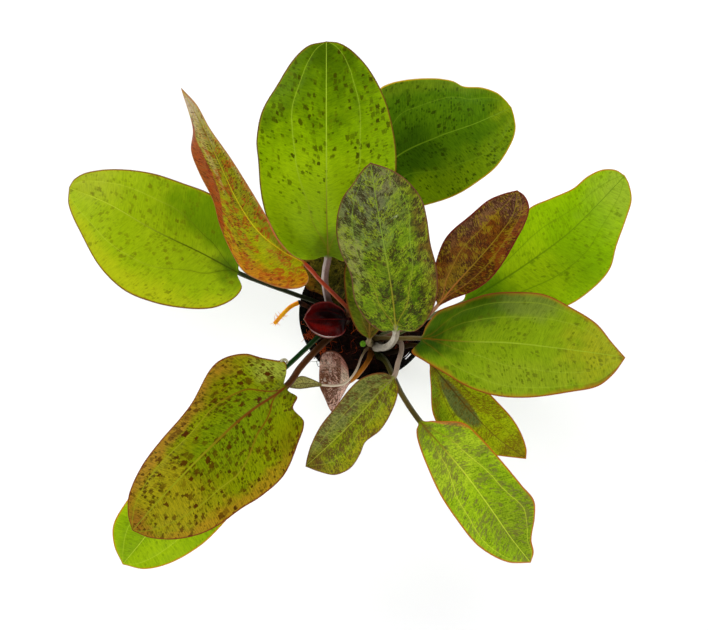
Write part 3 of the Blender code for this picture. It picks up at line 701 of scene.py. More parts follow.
class Leaf:
    """One leaf: a fine closed loft of its stalk and blade, in millimetres."""

    STALK_RINGS = 40
    FOOT_RINGS = 5
    BLADE_RINGS = 132
    RIB_COLUMNS = 4
    OUTER_COLUMNS = 22
    COLUMN_PACKING = 0.3
    RING_PACKING = 0.45
    STALK_END = 0.985
    STALK_SHARE = 0.86
    STALK_SWELLING, SWELLING_LENGTH = 0.44, 4.0
    THREE_SIDED = 0.05
    FOOT_WIDENING = 0.5
    FLARE = 0.045
    HALF_THICKNESS = 0.2
    MARGIN_THINNING = 0.6
    RIB_TIP_SHARE = 0.22
    RIB_MOST = 0.5
    RIB_BLEND = 0.3
    RIB_SINK, RIB_SINK_WIDTH = 0.12, 0.5
    VEIN_RIDGE, VEIN_RIDGE_WIDTH = 0.1, 0.4
    VEIN_GROOVE, VEIN_GROOVE_WIDTH = 0.16, 0.7
    NO_VEIN = 9.0
    NO_MARGIN = 5.0
    CURL = 1.5
    END_FADE = 0.1
    WAVE_TURN, SIDE_TURN = 1.7, 0.9
    SECOND_WAVE, SECOND_COUNT, SECOND_TURN = 0.5, 2.3, 2.1
    PUCKER, PUCKER_ALONG, PUCKER_SLANT, PUCKER_ACROSS = 0.07, 0.9, 4.0, 9.0
    STEP = 0.004
    HEADING_REACH = 0.3
    RIB_SAMPLES = 240
    BATCH = 2000
    PAINT_SEED = 7.3

    def __init__(
        self, shape: LeafShape, finish: LeafFinish, foot: Sequence[float], seed: int
    ) -> None:
        """Join the stalk and the rib in one smooth spine.

        Args:
            shape: The leaf's form.
            finish: Its colours and markings.
            foot: The place on the rootstock that the stalk grows out of.
            seed: What sets this leaf's small waves and markings apart.
        """
        self.shape = shape
        self.finish = finish
        self.foot = np.array(foot, float)
        self.seed = seed
        self.spine = SmoothCurve(tuple(shape.stalk) + tuple(shape.rib))
        self.blade_start = self.spine.ends[len(shape.stalk)] / self.spine.length
        self.left = SmoothCurve(shape.left)
        self.right = SmoothCurve(shape.right)
        self.blade_length = self.spine.length * (1 - self.blade_start)

    def spine_share(self, u: np.ndarray) -> np.ndarray:
        """Return the share of the whole spine at u on the blade."""
        return self.blade_start + (1 - self.blade_start) * u

    def columns(self, edge: np.ndarray) -> np.ndarray:
        """Return where the points of half a ring stand, 0 on the rib and 1 on the margin."""
        inner = edge[:, None] * np.linspace(0, 1, self.RIB_COLUMNS + 1)
        even = np.linspace(0, 1, self.OUTER_COLUMNS + 1)[1:]
        eased = np.sin(even * math.pi / 2)
        packed = (1 - self.COLUMN_PACKING) * even + self.COLUMN_PACKING * eased
        outer = edge[:, None] + (1 - edge[:, None]) * packed
        return np.concatenate((inner, outer), axis=1)

    def frames(self, share: np.ndarray) -> tuple[np.ndarray, np.ndarray, np.ndarray]:
        """Return the spine's points, right-hand directions and upward ones."""
        ahead = unit(self.spine.at(share + self.STEP) - self.spine.at(share - self.STEP))
        ends = self.spine.at(self.spine_share(np.array([0.0, self.HEADING_REACH])))
        heading = ends[1] - ends[0]
        side = np.array([heading[1], -heading[0], 0.0])
        right = unit(side - ahead * (ahead @ side)[:, None])
        return self.spine.at(share), right, np.cross(right, ahead)

    def blade(self, u: np.ndarray) -> dict[str, np.ndarray]:
        """Work out the blade's surface.

        Args:
            u: The rings' places along the blade.

        Returns:
            The surface's points and upward directions, and what each point carries.
        """
        shape = self.shape
        rib = self.spine.at(self.spine_share(u))
        rib_radius = shape.radius * (1 - (1 - self.RIB_TIP_SHARE) * u)
        fade = (smooth(u / self.END_FADE) * smooth((1 - u) / self.END_FADE))[:, None]
        sides = []
        for curve, lifts, veins, sign in (
            (self.left, shape.left_lift, shape.left_veins, -1.0),
            (self.right, shape.right_lift, shape.right_veins, 1.0),
        ):
            reach = curve.at(u) - rib[:, :2]
            lift = values_along(lifts, u)
            half = np.sqrt((reach ** 2).sum(axis=1) + lift ** 2)
            across = self.columns(
                np.minimum(self.RIB_MOST, rib_radius / np.maximum(half, rib_radius))
            )
            half = half[:, None]
            lines = [(across - values_along(vein, u)[:, None]) * half for vein in veins]
            lines.append(np.full_like(across, self.NO_VEIN))
            groove = sum(np.exp(-((line / self.VEIN_GROOVE_WIDTH) ** 2)) for line in lines[:2])
            relief = self.ripple(u, across, sign) - self.VEIN_GROOVE * groove
            points = np.empty((*across.shape, 3))
            points[..., :2] = rib[:, None, :2] + reach[:, None, :] * across[..., None]
            points[..., 2] = rib[:, None, 2] + lift[:, None] * across ** self.CURL
            points[..., 2] += fade * relief
            sides.append((points, across * sign, half * across, (1 - across) * half, *lines[:2]))
        points, v, distance, edge, first, second = (
            np.concatenate((left[:, ::-1], right[:, 1:]), axis=1) for left, right in zip(*sides)
        )
        normals = unit(np.cross(np.gradient(points, axis=1), np.gradient(points, axis=0)))
        normals *= np.where(normals[..., 2:] < 0, -1.0, 1.0)
        rib_up = self.frames(self.spine_share(u))[2][:, None, :]
        blend = smooth(np.abs(v) / self.RIB_BLEND)[..., None]
        return {
            "points": points,
            "up": unit(rib_up * (1 - blend) + normals * blend),
            "v": v,
            "across": distance * np.sign(v),
            "edge": edge,
            "first": first,
            "second": second,
            "rib": rib_radius[:, None],
        }

    def ripple(self, u: np.ndarray, across: np.ndarray, side: float) -> np.ndarray:
        """Return the small waves of one half of the blade, strongest at its margin."""
        turn = self.seed * self.WAVE_TURN + side * self.SIDE_TURN
        count = self.shape.waves * math.pi
        second = np.sin(u * count * self.SECOND_COUNT + turn * self.SECOND_TURN)
        wave = np.sin(u * count + turn) + self.SECOND_WAVE * second
        along = u[:, None] * self.blade_length * self.PUCKER_ALONG
        pucker = np.sin(along + across * self.PUCKER_SLANT + turn)
        pucker = pucker * np.sin(across * self.PUCKER_ACROSS + turn)
        inside = 4 * across * (1 - across)
        return self.shape.wave * wave[:, None] * across ** 2 + self.PUCKER * pucker * inside

    def place_along(self, points: np.ndarray) -> np.ndarray:
        """Return how far along the rib in millimetres each point lies, by its nearest place."""
        samples = self.spine.at(self.spine_share(np.linspace(0, 1, self.RIB_SAMPLES)))
        start = unit(samples[1] - samples[0])
        steps = np.linalg.norm(np.diff(samples, axis=0), axis=1)
        lengths = np.concatenate(([0.0], np.cumsum(steps)))
        flat = points.reshape(-1, 3)
        nearest = np.empty(len(flat), int)
        for low in range(0, len(flat), self.BATCH):
            batch = slice(low, low + self.BATCH)
            gaps = flat[batch, None, :] - samples[None]
            nearest[batch] = (gaps ** 2).sum(axis=2).argmin(axis=1)
        ahead = unit(np.gradient(samples, axis=0))[nearest]
        rest = ((flat - samples[nearest]) * ahead).sum(axis=1)
        before = np.minimum(((flat - samples[0]) @ start), 0.0)
        along = np.where(nearest == 0, before, lengths[nearest] + rest)
        return along.reshape(points.shape[:-1])

    def tube(self, share: np.ndarray, count: int, swell: np.ndarray) -> np.ndarray:
        """Return rings about the spine, slightly three-sided, each starting at its left.

        Args:
            share: The rings' places on the spine.
            count: How many points a ring has.
            swell: Each ring's share of the stalk's radius.

        Returns:
            The points, ring by ring.
        """
        centre, right, up = self.frames(share)
        angles = top_and_underside((count + 2) // 2)
        sides = 1 + self.THREE_SIDED * np.cos(3 * angles + math.pi / 2)
        radius = self.shape.radius * sides[None, :, None] * swell[:, None, None]
        return centre[:, None] + across_route(right, up, angles) * radius

    def skin(self, blade: dict[str, np.ndarray]) -> np.ndarray:
        """Return the blade's rings, over its top and back along its underside."""
        across, rib = blade["across"], blade["rib"]
        half = self.HALF_THICKNESS * (1 - self.MARGIN_THINNING * np.abs(blade["v"]) ** 4)
        sunk = np.exp(-((across / (self.RIB_SINK_WIDTH * rib)) ** 2)) * self.RIB_SINK
        ridge = np.sqrt(np.clip(1 - (across / rib) ** 2, 0, 1)) * rib
        for line in (blade["first"], blade["second"]):
            ridge += self.VEIN_RIDGE * np.exp(-((line / self.VEIN_RIDGE_WIDTH) ** 2))
        for values in (half, ridge):
            values[:, [0, -1]] = 0.0
        top = blade["points"] + blade["up"] * (half - sunk)[..., None]
        bottom = blade["points"] - blade["up"] * (half + ridge)[..., None]
        return np.concatenate((top, bottom[:, -2:0:-1]), axis=1)

    def build(self) -> bpy.types.Object:
        """Make the leaf's mesh with its material, and seat it."""
        even = np.arange(1, self.BLADE_RINGS + 1) / (self.BLADE_RINGS + 1.0)
        eased = (1 - np.cos(math.pi * even)) / 2
        u = self.RING_PACKING * eased + (1 - self.RING_PACKING) * even
        blade = self.blade(u)
        rings = self.skin(blade)
        count = rings.shape[1]
        tube = self.tube(self.spine_share(u), count, np.full(len(u), self.STALK_SHARE))
        flare = smooth(1 - u / self.FLARE)[:, None, None]
        rings = rings * (1 - flare) + tube * flare
        share = np.linspace(0, self.blade_start * self.STALK_END, self.STALK_RINGS)
        swelling = np.exp(-share * self.spine.length / self.SWELLING_LENGTH)
        stalk = self.tube(share, count, self.STALK_SHARE + self.STALK_SWELLING * swelling)
        start = stalk[:1].mean(axis=1, keepdims=True)
        part = (np.arange(self.FOOT_RINGS) / self.FOOT_RINGS)[:, None, None]
        widening = 1 + self.FOOT_WIDENING * (1 - part)
        foot = self.foot + (start - self.foot) * part + (stalk[:1] - start) * widening
        every = np.concatenate((foot, stalk, rings))
        tip = self.spine.at(np.array([1.0]))
        vertices = np.concatenate((every.reshape(-1, 3), tip))
        last, end = (len(every) - 1) * count, len(vertices) - 1
        faces = ring_faces(len(every), count, True, False)
        faces += [(last + index, last + (index + 1) % count, end) for index in range(count)]
        thing = mesh_object(self.shape.name + "_grown", vertices, faces)
        self.carry(thing, blade, u, count)
        paint = LeafPaint(self.shape.name + "_paint", self.finish, self.seed * self.PAINT_SEED)
        settle(thing, paint.paint(), self.shape.name, self.shape.name)
        return thing

    def carry(self, thing: bpy.types.Object, blade: dict, u: np.ndarray, count: int) -> None:
        """Give each point of the mesh its place on the leaf.

        Args:
            thing: The leaf.
            blade: What its blade's points carry.
            u: The rings' places along the blade.
            count: How many points a ring has.
        """
        def column(stalk: np.ndarray, values: np.ndarray, end: float) -> np.ndarray:
            """Join the stalk's values, the blade's on both faces, and the tip's."""
            both = np.concatenate((values, values[:, -2:0:-1]), axis=1)
            return np.concatenate((stalk.ravel(), both.ravel(), [end]))

        v = blade["v"]
        below = self.FOOT_RINGS + self.STALK_RINGS
        width = v.shape[1]
        flat = np.zeros((below, count))
        share = np.linspace(1, 0, below)[:, None] + flat
        down = -share * self.blade_start * self.spine.length
        round_place = np.cos(top_and_underside(width))[None, :] * self.shape.radius + flat
        level = np.broadcast_to(u[:, None], v.shape)
        under = np.concatenate((np.zeros(width), np.ones(count - width)))
        under = np.concatenate((np.tile(under, below + len(u)), [0.0]))
        veins = [
            column(flat + self.NO_VEIN, blade[name], self.NO_VEIN) for name in ("first", "second")
        ]
        carried = {
            "leaf_place": (
                column(down, self.place_along(blade["points"]), self.blade_length),
                column(round_place, blade["across"], 0.0),
                column(flat, level, 1.0),
            ),
            "leaf_lines": (column(flat + self.NO_MARGIN, blade["edge"], 0.0), *veins),
            "leaf_side": (column(flat, v, 0.0), under, column(share, np.zeros_like(v), 0.0)),
        }
        for name, parts in carried.items():
            layer = thing.data.attributes.new(name, "FLOAT_VECTOR", "POINT")
            layer.data.foreach_set("vector", np.stack(parts, axis=1).ravel())


LEAF_SHAPES = (
    LeafShape(
        "leaf_left", 1.0,
        stalk=((-13.5, 0.7, 49), (-18, 4.2, 58), (-26, 7.2, 68), (-37, 11.2, 78)),
        rib=((-46.5, 15, 84), (-60.5, 22.5, 91), (-77, 30.5, 95), (-93.5, 40, 94),
             (-109, 46.5, 88)),
        left=((-46.5, 14), (-45.5, 10), (-47, 7), (-51, 4), (-57, 2), (-66, 2), (-77, 4),
              (-88, 8.5), (-97, 17), (-104.5, 30), (-109, 40), (-109, 46.5)),
        right=((-46.5, 16), (-46, 23.5), (-47.5, 32.5), (-51.5, 39), (-56, 43.5), (-66, 47.5),
               (-78.5, 51.5), (-91.5, 53), (-102, 52), (-107, 49.5), (-109, 46.5)),
        left_lift=(0, -1, -2, -2, 0), right_lift=(0, 1, 0, -2, 0),
        left_veins=((0.05, 0.36, 0.51, 0.59, 0.68),),
        right_veins=((0.1, 0.33, 0.53, 0.58, 0.6),),
    ),
    LeafShape(
        "leaf_folded_orange", 0.9,
        stalk=((-6, 0, 53), (-6.7, 2.2, 66), (-9, 4.7, 77), (-12, 7.7, 85), (-16.5, 12.2, 95)),
        rib=((-22, 18, 106), (-30, 22.5, 112), (-38, 29, 120), (-44.5, 38.5, 129),
             (-50.5, 51.5, 138), (-57, 66, 143), (-63.5, 77.5, 144)),
        left=((-21.5, 17.5), (-20.5, 12), (-23, 9.5), (-29, 9), (-37, 11.5), (-43.5, 15),
              (-48, 22), (-52, 31.5), (-54, 40), (-58.5, 49.5), (-61, 57), (-60, 63.5), (-61, 69),
              (-63.5, 77.5)),
        right=((-22, 19.2), (-26, 21), (-31, 26.5), (-34.5, 33.5), (-40, 43), (-46.5, 53.5),
               (-53.5, 63.5), (-58, 71.5), (-63.5, 77.5)),
        left_lift=(0, -8, -16, -12, 0), right_lift=(0, 3, 6, 5, 0),
        left_veins=((1.5,) * 5,), right_veins=((1.5,) * 5,),
    ),
    LeafShape(
        "leaf_top", 1.5,
        stalk=((-10.7, 0, 53), (-13, 2.7, 60), (-14.2, 6, 67.5), (-15, 11.7, 80),
               (-14.5, 16.7, 90)),
        rib=((-13.7, 20.5, 96), (-14, 35.5, 107), (-14, 54.5, 115), (-14, 75.5, 119),
             (-14, 96.5, 118)),
        left=((-15, 20.5), (-19.5, 19.5), (-26.5, 20.5), (-34.5, 32), (-37.5, 42.5), (-38.5, 55),
              (-39, 62), (-37, 72), (-31.5, 81.5), (-26, 90), (-20.5, 95), (-14, 96.5)),
        right=((-12.5, 20.5), (-7.5, 19), (-1.5, 22.5), (5, 31), (10, 44.5), (11, 55), (10, 64.5),
               (7, 76), (1.5, 86.5), (-4.5, 93), (-9.5, 96), (-14, 96.5)),
        left_lift=(0, -3, -4, -4, 0), right_lift=(0, -3, -4, -4, 0),
        left_veins=((0.02, 0.28, 0.45, 0.58, 0.6),),
        right_veins=((0.05, 0.3, 0.48, 0.57, 0.7),),
    ),
    LeafShape(
        "leaf_top_right", 1.1,
        stalk=((-5, 2, 48), (-2.7, 9, 60), (0.2, 22.2, 70), (3.2, 34.2, 78)),
        rib=((4, 42, 82), (7, 52, 86), (12.5, 58.5, 89), (27, 65, 93), (40, 69.5, 94),
             (53.5, 75.5, 92)),
        left=((3, 42.5), (-0.5, 55), (-1, 68), (1.5, 77.5), (5.5, 83), (12.5, 85.5), (24.5, 86.5),
              (32, 85.5), (36, 83.5), (42.5, 83), (48, 81), (51, 78.5), (53.5, 75.5)),
        right=((5, 41.5), (8.5, 39.5), (15, 39), (22, 40), (33, 43.5), (42, 49), (48.5, 54.5),
               (53.5, 62.5), (55, 67.5), (54.5, 72), (53.5, 75.5)),
        left_lift=(0, -2, -3, -4, 0), right_lift=(0, -2, -3, -4, 0),
        left_veins=((0.05, 0.38, 0.53, 0.63, 0.7),),
        right_veins=((0.05, 0.35, 0.57, 0.71, 0.75),),
    ),
    LeafShape(
        "leaf_centre", 1.5,
        stalk=((5.5, -12.5, 53), (7.2, -12.7, 66), (9.5, -11.2, 80), (11, -8.5, 91)),
        rib=((11, -6, 98), (9.5, 6.5, 112), (7, 20.5, 124), (4, 36, 134), (1.5, 52, 141)),
        left=((9.5, -7), (5, -6), (0, -2), (-4, 5), (-5.5, 14), (-9.5, 23.5), (-10.5, 31.5),
              (-8.5, 40), (-4, 46), (-1, 50), (1.5, 52)),
        right=((12.5, -6.5), (18.5, -6), (23, -1), (25.5, 6.5), (25.5, 15.5), (23, 25),
               (21.5, 34), (19.5, 40.5), (14.5, 46.5), (8.5, 50), (1.5, 52)),
        left_lift=(-2, -6, -9, -8, 0), right_lift=(-2, -4, -8, -8, 0),
        left_veins=((0.1, 0.4, 0.62, 0.64, 0.7),),
        right_veins=((0.05, 0.36, 0.55, 0.66, 0.72),),
    ),
    LeafShape(
        "leaf_centre_behind", 1.0,
        stalk=((2.2, -11.2, 53), (1.7, -11.5, 62), (1, -10.5, 74)),
        rib=((1.5, -9, 82), (1.5, 1.5, 88), (2, 12.5, 92), (3, 27, 93)),
        left=((0.5, -9), (-3, -6), (-6, 0.5), (-7.5, 7.5), (-7.5, 17.5), (-3.5, 24), (3, 27)),
        right=((2.5, -9), (7.5, -3), (12, 6), (12.5, 15.5), (9.5, 23.5), (3, 27)),
        left_lift=(0, 1, 1, 1, 0), right_lift=(0, 1, 1, 1, 0),
    ),
    LeafShape(
        "leaf_red_brown", 0.8,
        stalk=((7, -9.2, 53), (11.7, -6.7, 66), (17.5, -4.2, 76), (23.2, -0.5, 84)),
        rib=((26.5, 3, 88), (32.5, 10.5, 95), (40.5, 19.5, 102), (48, 28.5, 107), (53, 36, 108),
             (54.5, 44.5, 106)),
        left=((26, 3.5), (24.5, 9), (25, 16.5), (27.5, 25), (30.5, 29.5), (37, 35), (43.5, 40.5),
              (49, 43), (54.5, 44.5)),
        right=((27.5, 3), (31, 5), (39.5, 8.5), (45, 12.5), (49.5, 18.5), (54, 26.5),
               (57.5, 33.5), (58.5, 38.5), (57, 42.5), (54.5, 44.5)),
        left_lift=(0, 1, 4, 3, 0), right_lift=(0, 2, 4, 3, 0),
    ),
    LeafShape(
        "leaf_right_back", 1.1,
        stalk=((7.5, -8.2, 48), (13.2, -7, 57), (20.7, -2.7, 64), (28.5, 0.7, 69)),
        rib=((36.5, 4, 73), (50, 12, 80), (62.5, 20.5, 85), (75, 30, 88), (86, 41, 89),
             (95.5, 51, 87)),
        left=((36, 5), (40, 12.5), (50, 27.5), (60.5, 39), (68, 42.5), (76, 46), (81.5, 50.5),
              (87, 53), (92, 53), (95.5, 51)),
        right=((37, 3.5), (46.5, -0.5), (61.5, -1.5), (76, 3.5), (85.5, 10.5), (90.5, 17),
               (92.5, 25), (96, 35), (98, 42), (97, 48), (95.5, 51)),
        left_lift=(0, -2, -1, 1, 0), right_lift=(0, -3, -4, -2, 0),
        left_veins=((0.05, 0.4, 0.46, 0.46, 0.4),),
        right_veins=((0.05, 0.4, 0.46, 0.46, 0.4),),
    ),
    LeafShape(
        "leaf_right", 1.0,
        stalk=((4.2, -9.2, 53), (7.2, -9, 66), (10.7, -9.2, 75), (15, -9, 81)),
        rib=((20, -9, 86), (34.5, -10, 92), (52.5, -10.5, 97), (70.5, -12.5, 98),
             (85.5, -14.5, 96), (95, -16, 93)),
        left=((20, -8), (24, -2), (27.5, 1.5), (34.5, 4), (45.5, 7.5), (56.5, 8), (65.5, 7),
              (74.5, 2.5), (84, -3.5), (90, -10.5), (95, -16)),
        right=((19.5, -10), (17, -14), (21, -17), (28.5, -21.5), (38, -27), (48, -30),
               (60, -30.5), (74.5, -28.5), (84.5, -26.5), (90.5, -22), (95, -16)),
        left_lift=(-1, -3, -2, 0, 0), right_lift=(-1, -2, -3, -2, 0),
        left_veins=((0.05, 0.48, 0.51, 0.64, 0.55), (0.2, 0.78, 0.8, 0.85, 0.85)),
        right_veins=((0.0, 0.27, 0.44, 0.54, 0.3), (0.2, 0.7, 0.8, 0.84, 0.8)),
    ),
    LeafShape(
        "leaf_lower_right_back", 1.0,
        stalk=((8, -14.5, 48), (12, -14.3, 51.5), (15.6, -12.4, 56), (19.5, -12, 61.5),
               (22.8, -14.6, 67)),
        rib=((24.5, -18, 70), (31.5, -27, 75), (39, -36, 77), (49, -46, 75), (60.5, -54.5, 70)),
        left=((26, -17.5), (35.5, -20), (43.5, -27), (49, -32.5), (54.5, -38.5), (58, -44),
              (60.5, -50.5), (60.5, -54.5)),
        right=((24, -19), (24.5, -26.5), (25.5, -38), (31.5, -47), (43, -52), (52.5, -53.5),
               (60.5, -54.5)),
        left_lift=(0, 2, 3, 2, 0), right_lift=(0, -2, -3, -1, 0),
    ),
    LeafShape(
        "leaf_lower_right", 1.2,
        stalk=((5.5, -16, 48), (8, -18.2, 58), (10.5, -23.5, 66), (14, -30.7, 75)),
        rib=((20, -39.5, 83), (27.5, -48, 88), (36.5, -58.5, 90), (46, -71.5, 88), (54, -83, 84),
             (61.5, -92.5, 79)),
        left=((21, -39.5), (27.5, -39.5), (36, -40), (42, -45), (50.5, -54.5), (57.5, -63),
              (62, -68.5), (62.5, -75), (61.5, -83.5), (62.5, -88.5), (61.5, -92.5)),
        right=((19, -39.5), (19, -45.5), (22, -54.5), (27.5, -66.5), (34.5, -77), (40.5, -84.5),
               (46.5, -89), (53, -92), (57.5, -92.5), (61.5, -92.5)),
        left_lift=(0, 2, 2, 1, 0), right_lift=(0, 2, 2, 1, 0),
        left_veins=((0.2, 0.37, 0.55, 0.7, 0.75),),
        right_veins=((0.0, 0.33, 0.65, 0.78, 0.8),),
    ),
    LeafShape(
        "leaf_lower_centre", 1.1,
        stalk=((9, -11.2, 49), (11, -10.2, 57), (13.5, -11, 65), (13.5, -14.2, 74),
               (12, -18.5, 83)),
        rib=((10.5, -23, 90), (5.5, -28, 94), (-2.5, -37, 97), (-12, -46.5, 96), (-22, -56, 90)),
        left=((11, -23.5), (12, -28), (10, -35), (5.5, -42.5), (0, -47), (-2, -51.5),
              (-5.5, -56.5), (-11, -59), (-16.5, -58), (-22, -56)),
        right=((9.5, -22), (4.5, -21.5), (-1.5, -23.5), (-5.5, -27), (-11, -34), (-16.5, -41),
               (-20, -48), (-21.5, -53), (-22, -56)),
        left_lift=(0, -3, -6, -4, 0), right_lift=(0, -2, -3, -2, 0),
    ),
    LeafShape(
        "leaf_withered", 1.0,
        stalk=((2.2, -15.7, 48), (1.2, -18, 54), (-1.5, -21.7, 57)),
        rib=((-5.5, -25.5, 57), (-11.5, -27, 59), (-17.5, -27.5, 56)),
        left=((-6, -26.5), (-9.5, -33), (-12.5, -37.5), (-15.5, -32), (-17.5, -27.5)),
        right=((-6.5, -24.5), (-6.5, -20.5), (-9.5, -15.5), (-13, -14), (-16.5, -15.5),
               (-17.5, -21.5), (-17.5, -27.5)),
        left_lift=(0, -3, -4, -2, 0), right_lift=(0, -3, -4, -2, 0),
    ),
    LeafShape(
        "leaf_lower_left", 1.45,
        stalk=((-10, -6.2, 48), (-14, -9.5, 60), (-19.5, -14.7, 71), (-24.2, -20, 80)),
        rib=((-29, -26.5, 88), (-44, -37, 96), (-58, -50, 101), (-72.5, -65, 101),
             (-85, -79, 95)),
        left=((-28.5, -27.5), (-25, -30.5), (-26.5, -34.5), (-22.5, -39.5), (-24.5, -47),
              (-29.5, -58.5), (-37.5, -66), (-45.5, -71), (-53, -76.5), (-60, -80), (-69.5, -82),
              (-78.5, -81.5), (-85, -79)),
        right=((-30, -26), (-29, -21.5), (-29.5, -17.5), (-32.5, -17), (-38, -16), (-44, -14.5),
               (-51.5, -16), (-56.5, -20), (-63, -32), (-67.5, -38), (-74.5, -46), (-81.5, -55.5),
               (-86, -65.5), (-86.5, -73), (-85, -79)),
        left_lift=(0, -2, -3, -3, 0), right_lift=(0, -3, -4, -3, 0),
        left_veins=((0.0, 0.34, 0.55, 0.56, 0.62),),
        right_veins=((0.05, 0.4, 0.55, 0.62, 0.6),),
    ),
    LeafShape(
        "leaf_lower_left_back", 1.1,
        stalk=((-13, -3, 48), (-17.2, -8, 56), (-25.5, -16, 61), (-36, -25.7, 67)),
        rib=((-47.5, -37, 72), (-58, -49, 76), (-69, -64, 77), (-80.5, -81, 73),
             (-91.5, -94.5, 67)),
        left=((-46.5, -37.5), (-40.5, -47), (-41, -58.5), (-48.5, -72.5), (-55, -80.5),
              (-62, -87), (-73, -93.5), (-83, -96), (-91.5, -94.5)),
        right=((-48.5, -36), (-60, -38), (-75, -49.5), (-89, -69.5), (-94.5, -79), (-94.5, -87),
               (-91.5, -94.5)),
        left_lift=(0, -2, -2, -1, 0), right_lift=(0, -2, -2, -1, 0),
        left_veins=((0.05, 0.4, 0.6, 0.6, 0.65),),
        right_veins=((0.05, 0.4, 0.5, 0.57, 0.5),),
    ),
    LeafShape(
        "leaf_narrow_young", 0.5,
        stalk=((0.2, -14, 48), (-1.5, -16.7, 58), (-3.7, -22, 64), (-7.5, -26.2, 65),
               (-11.7, -27.2, 63)),
        rib=((-16.2, -27, 61), (-20, -26.5, 62), (-24.5, -26.5, 62), (-29, -28, 60)),
        left=((-16.5, -27.5), (-21, -28), (-25, -28.5), (-29, -28)),
        right=((-16.5, -26.5), (-20.5, -24.5), (-24, -23.5), (-26.5, -24.5), (-29, -28)),
        left_lift=(0, 0.5, 0.5, 0.5, 0), right_lift=(0, 0.5, 0.5, 0.5, 0),
    ),
    LeafShape(
        "leaf_dark_behind", 1.0,
        stalk=((-10.5, 2.5, 47.5),),
        rib=((-11, 4.2, 54.5), (-13.7, 11, 61), (-15.5, 19.7, 65), (-16.2, 29.5, 66)),
        left=((-12, 4.5), (-18, 8), (-22, 9.5), (-25, 15.5), (-23, 24), (-16.2, 29.5)),
        right=((-10, 4.2), (-7, 6.5), (-4, 13.5), (-5.5, 21.5), (-16.2, 29.5)),
        left_lift=(0, 1, 1, 1, 0), right_lift=(0, 1, 1, 1, 0),
    ),
    LeafShape(
        "leaf_wine_red_young", 0.9,
        stalk=((-8, -2, 53), (-6.5, -2, 58)),
        rib=((-7, -2, 63), (-10, -2, 66.5), (-17, -2, 69), (-23, -2, 74)),
        left=((-7.5, -3.2), (-7.5, -6.5), (-10, -8.5), (-15, -9), (-20, -6.5), (-23, -2)),
        right=((-7.5, -0.8), (-8.2, 1.5), (-10.5, 3.2), (-14, 4.7), (-19.2, 3.7), (-21.7, 1),
               (-23, -2)),
        left_lift=(0, 4, 5, 4, 0), right_lift=(0, 3, 5, 4, 0),
    ),
)

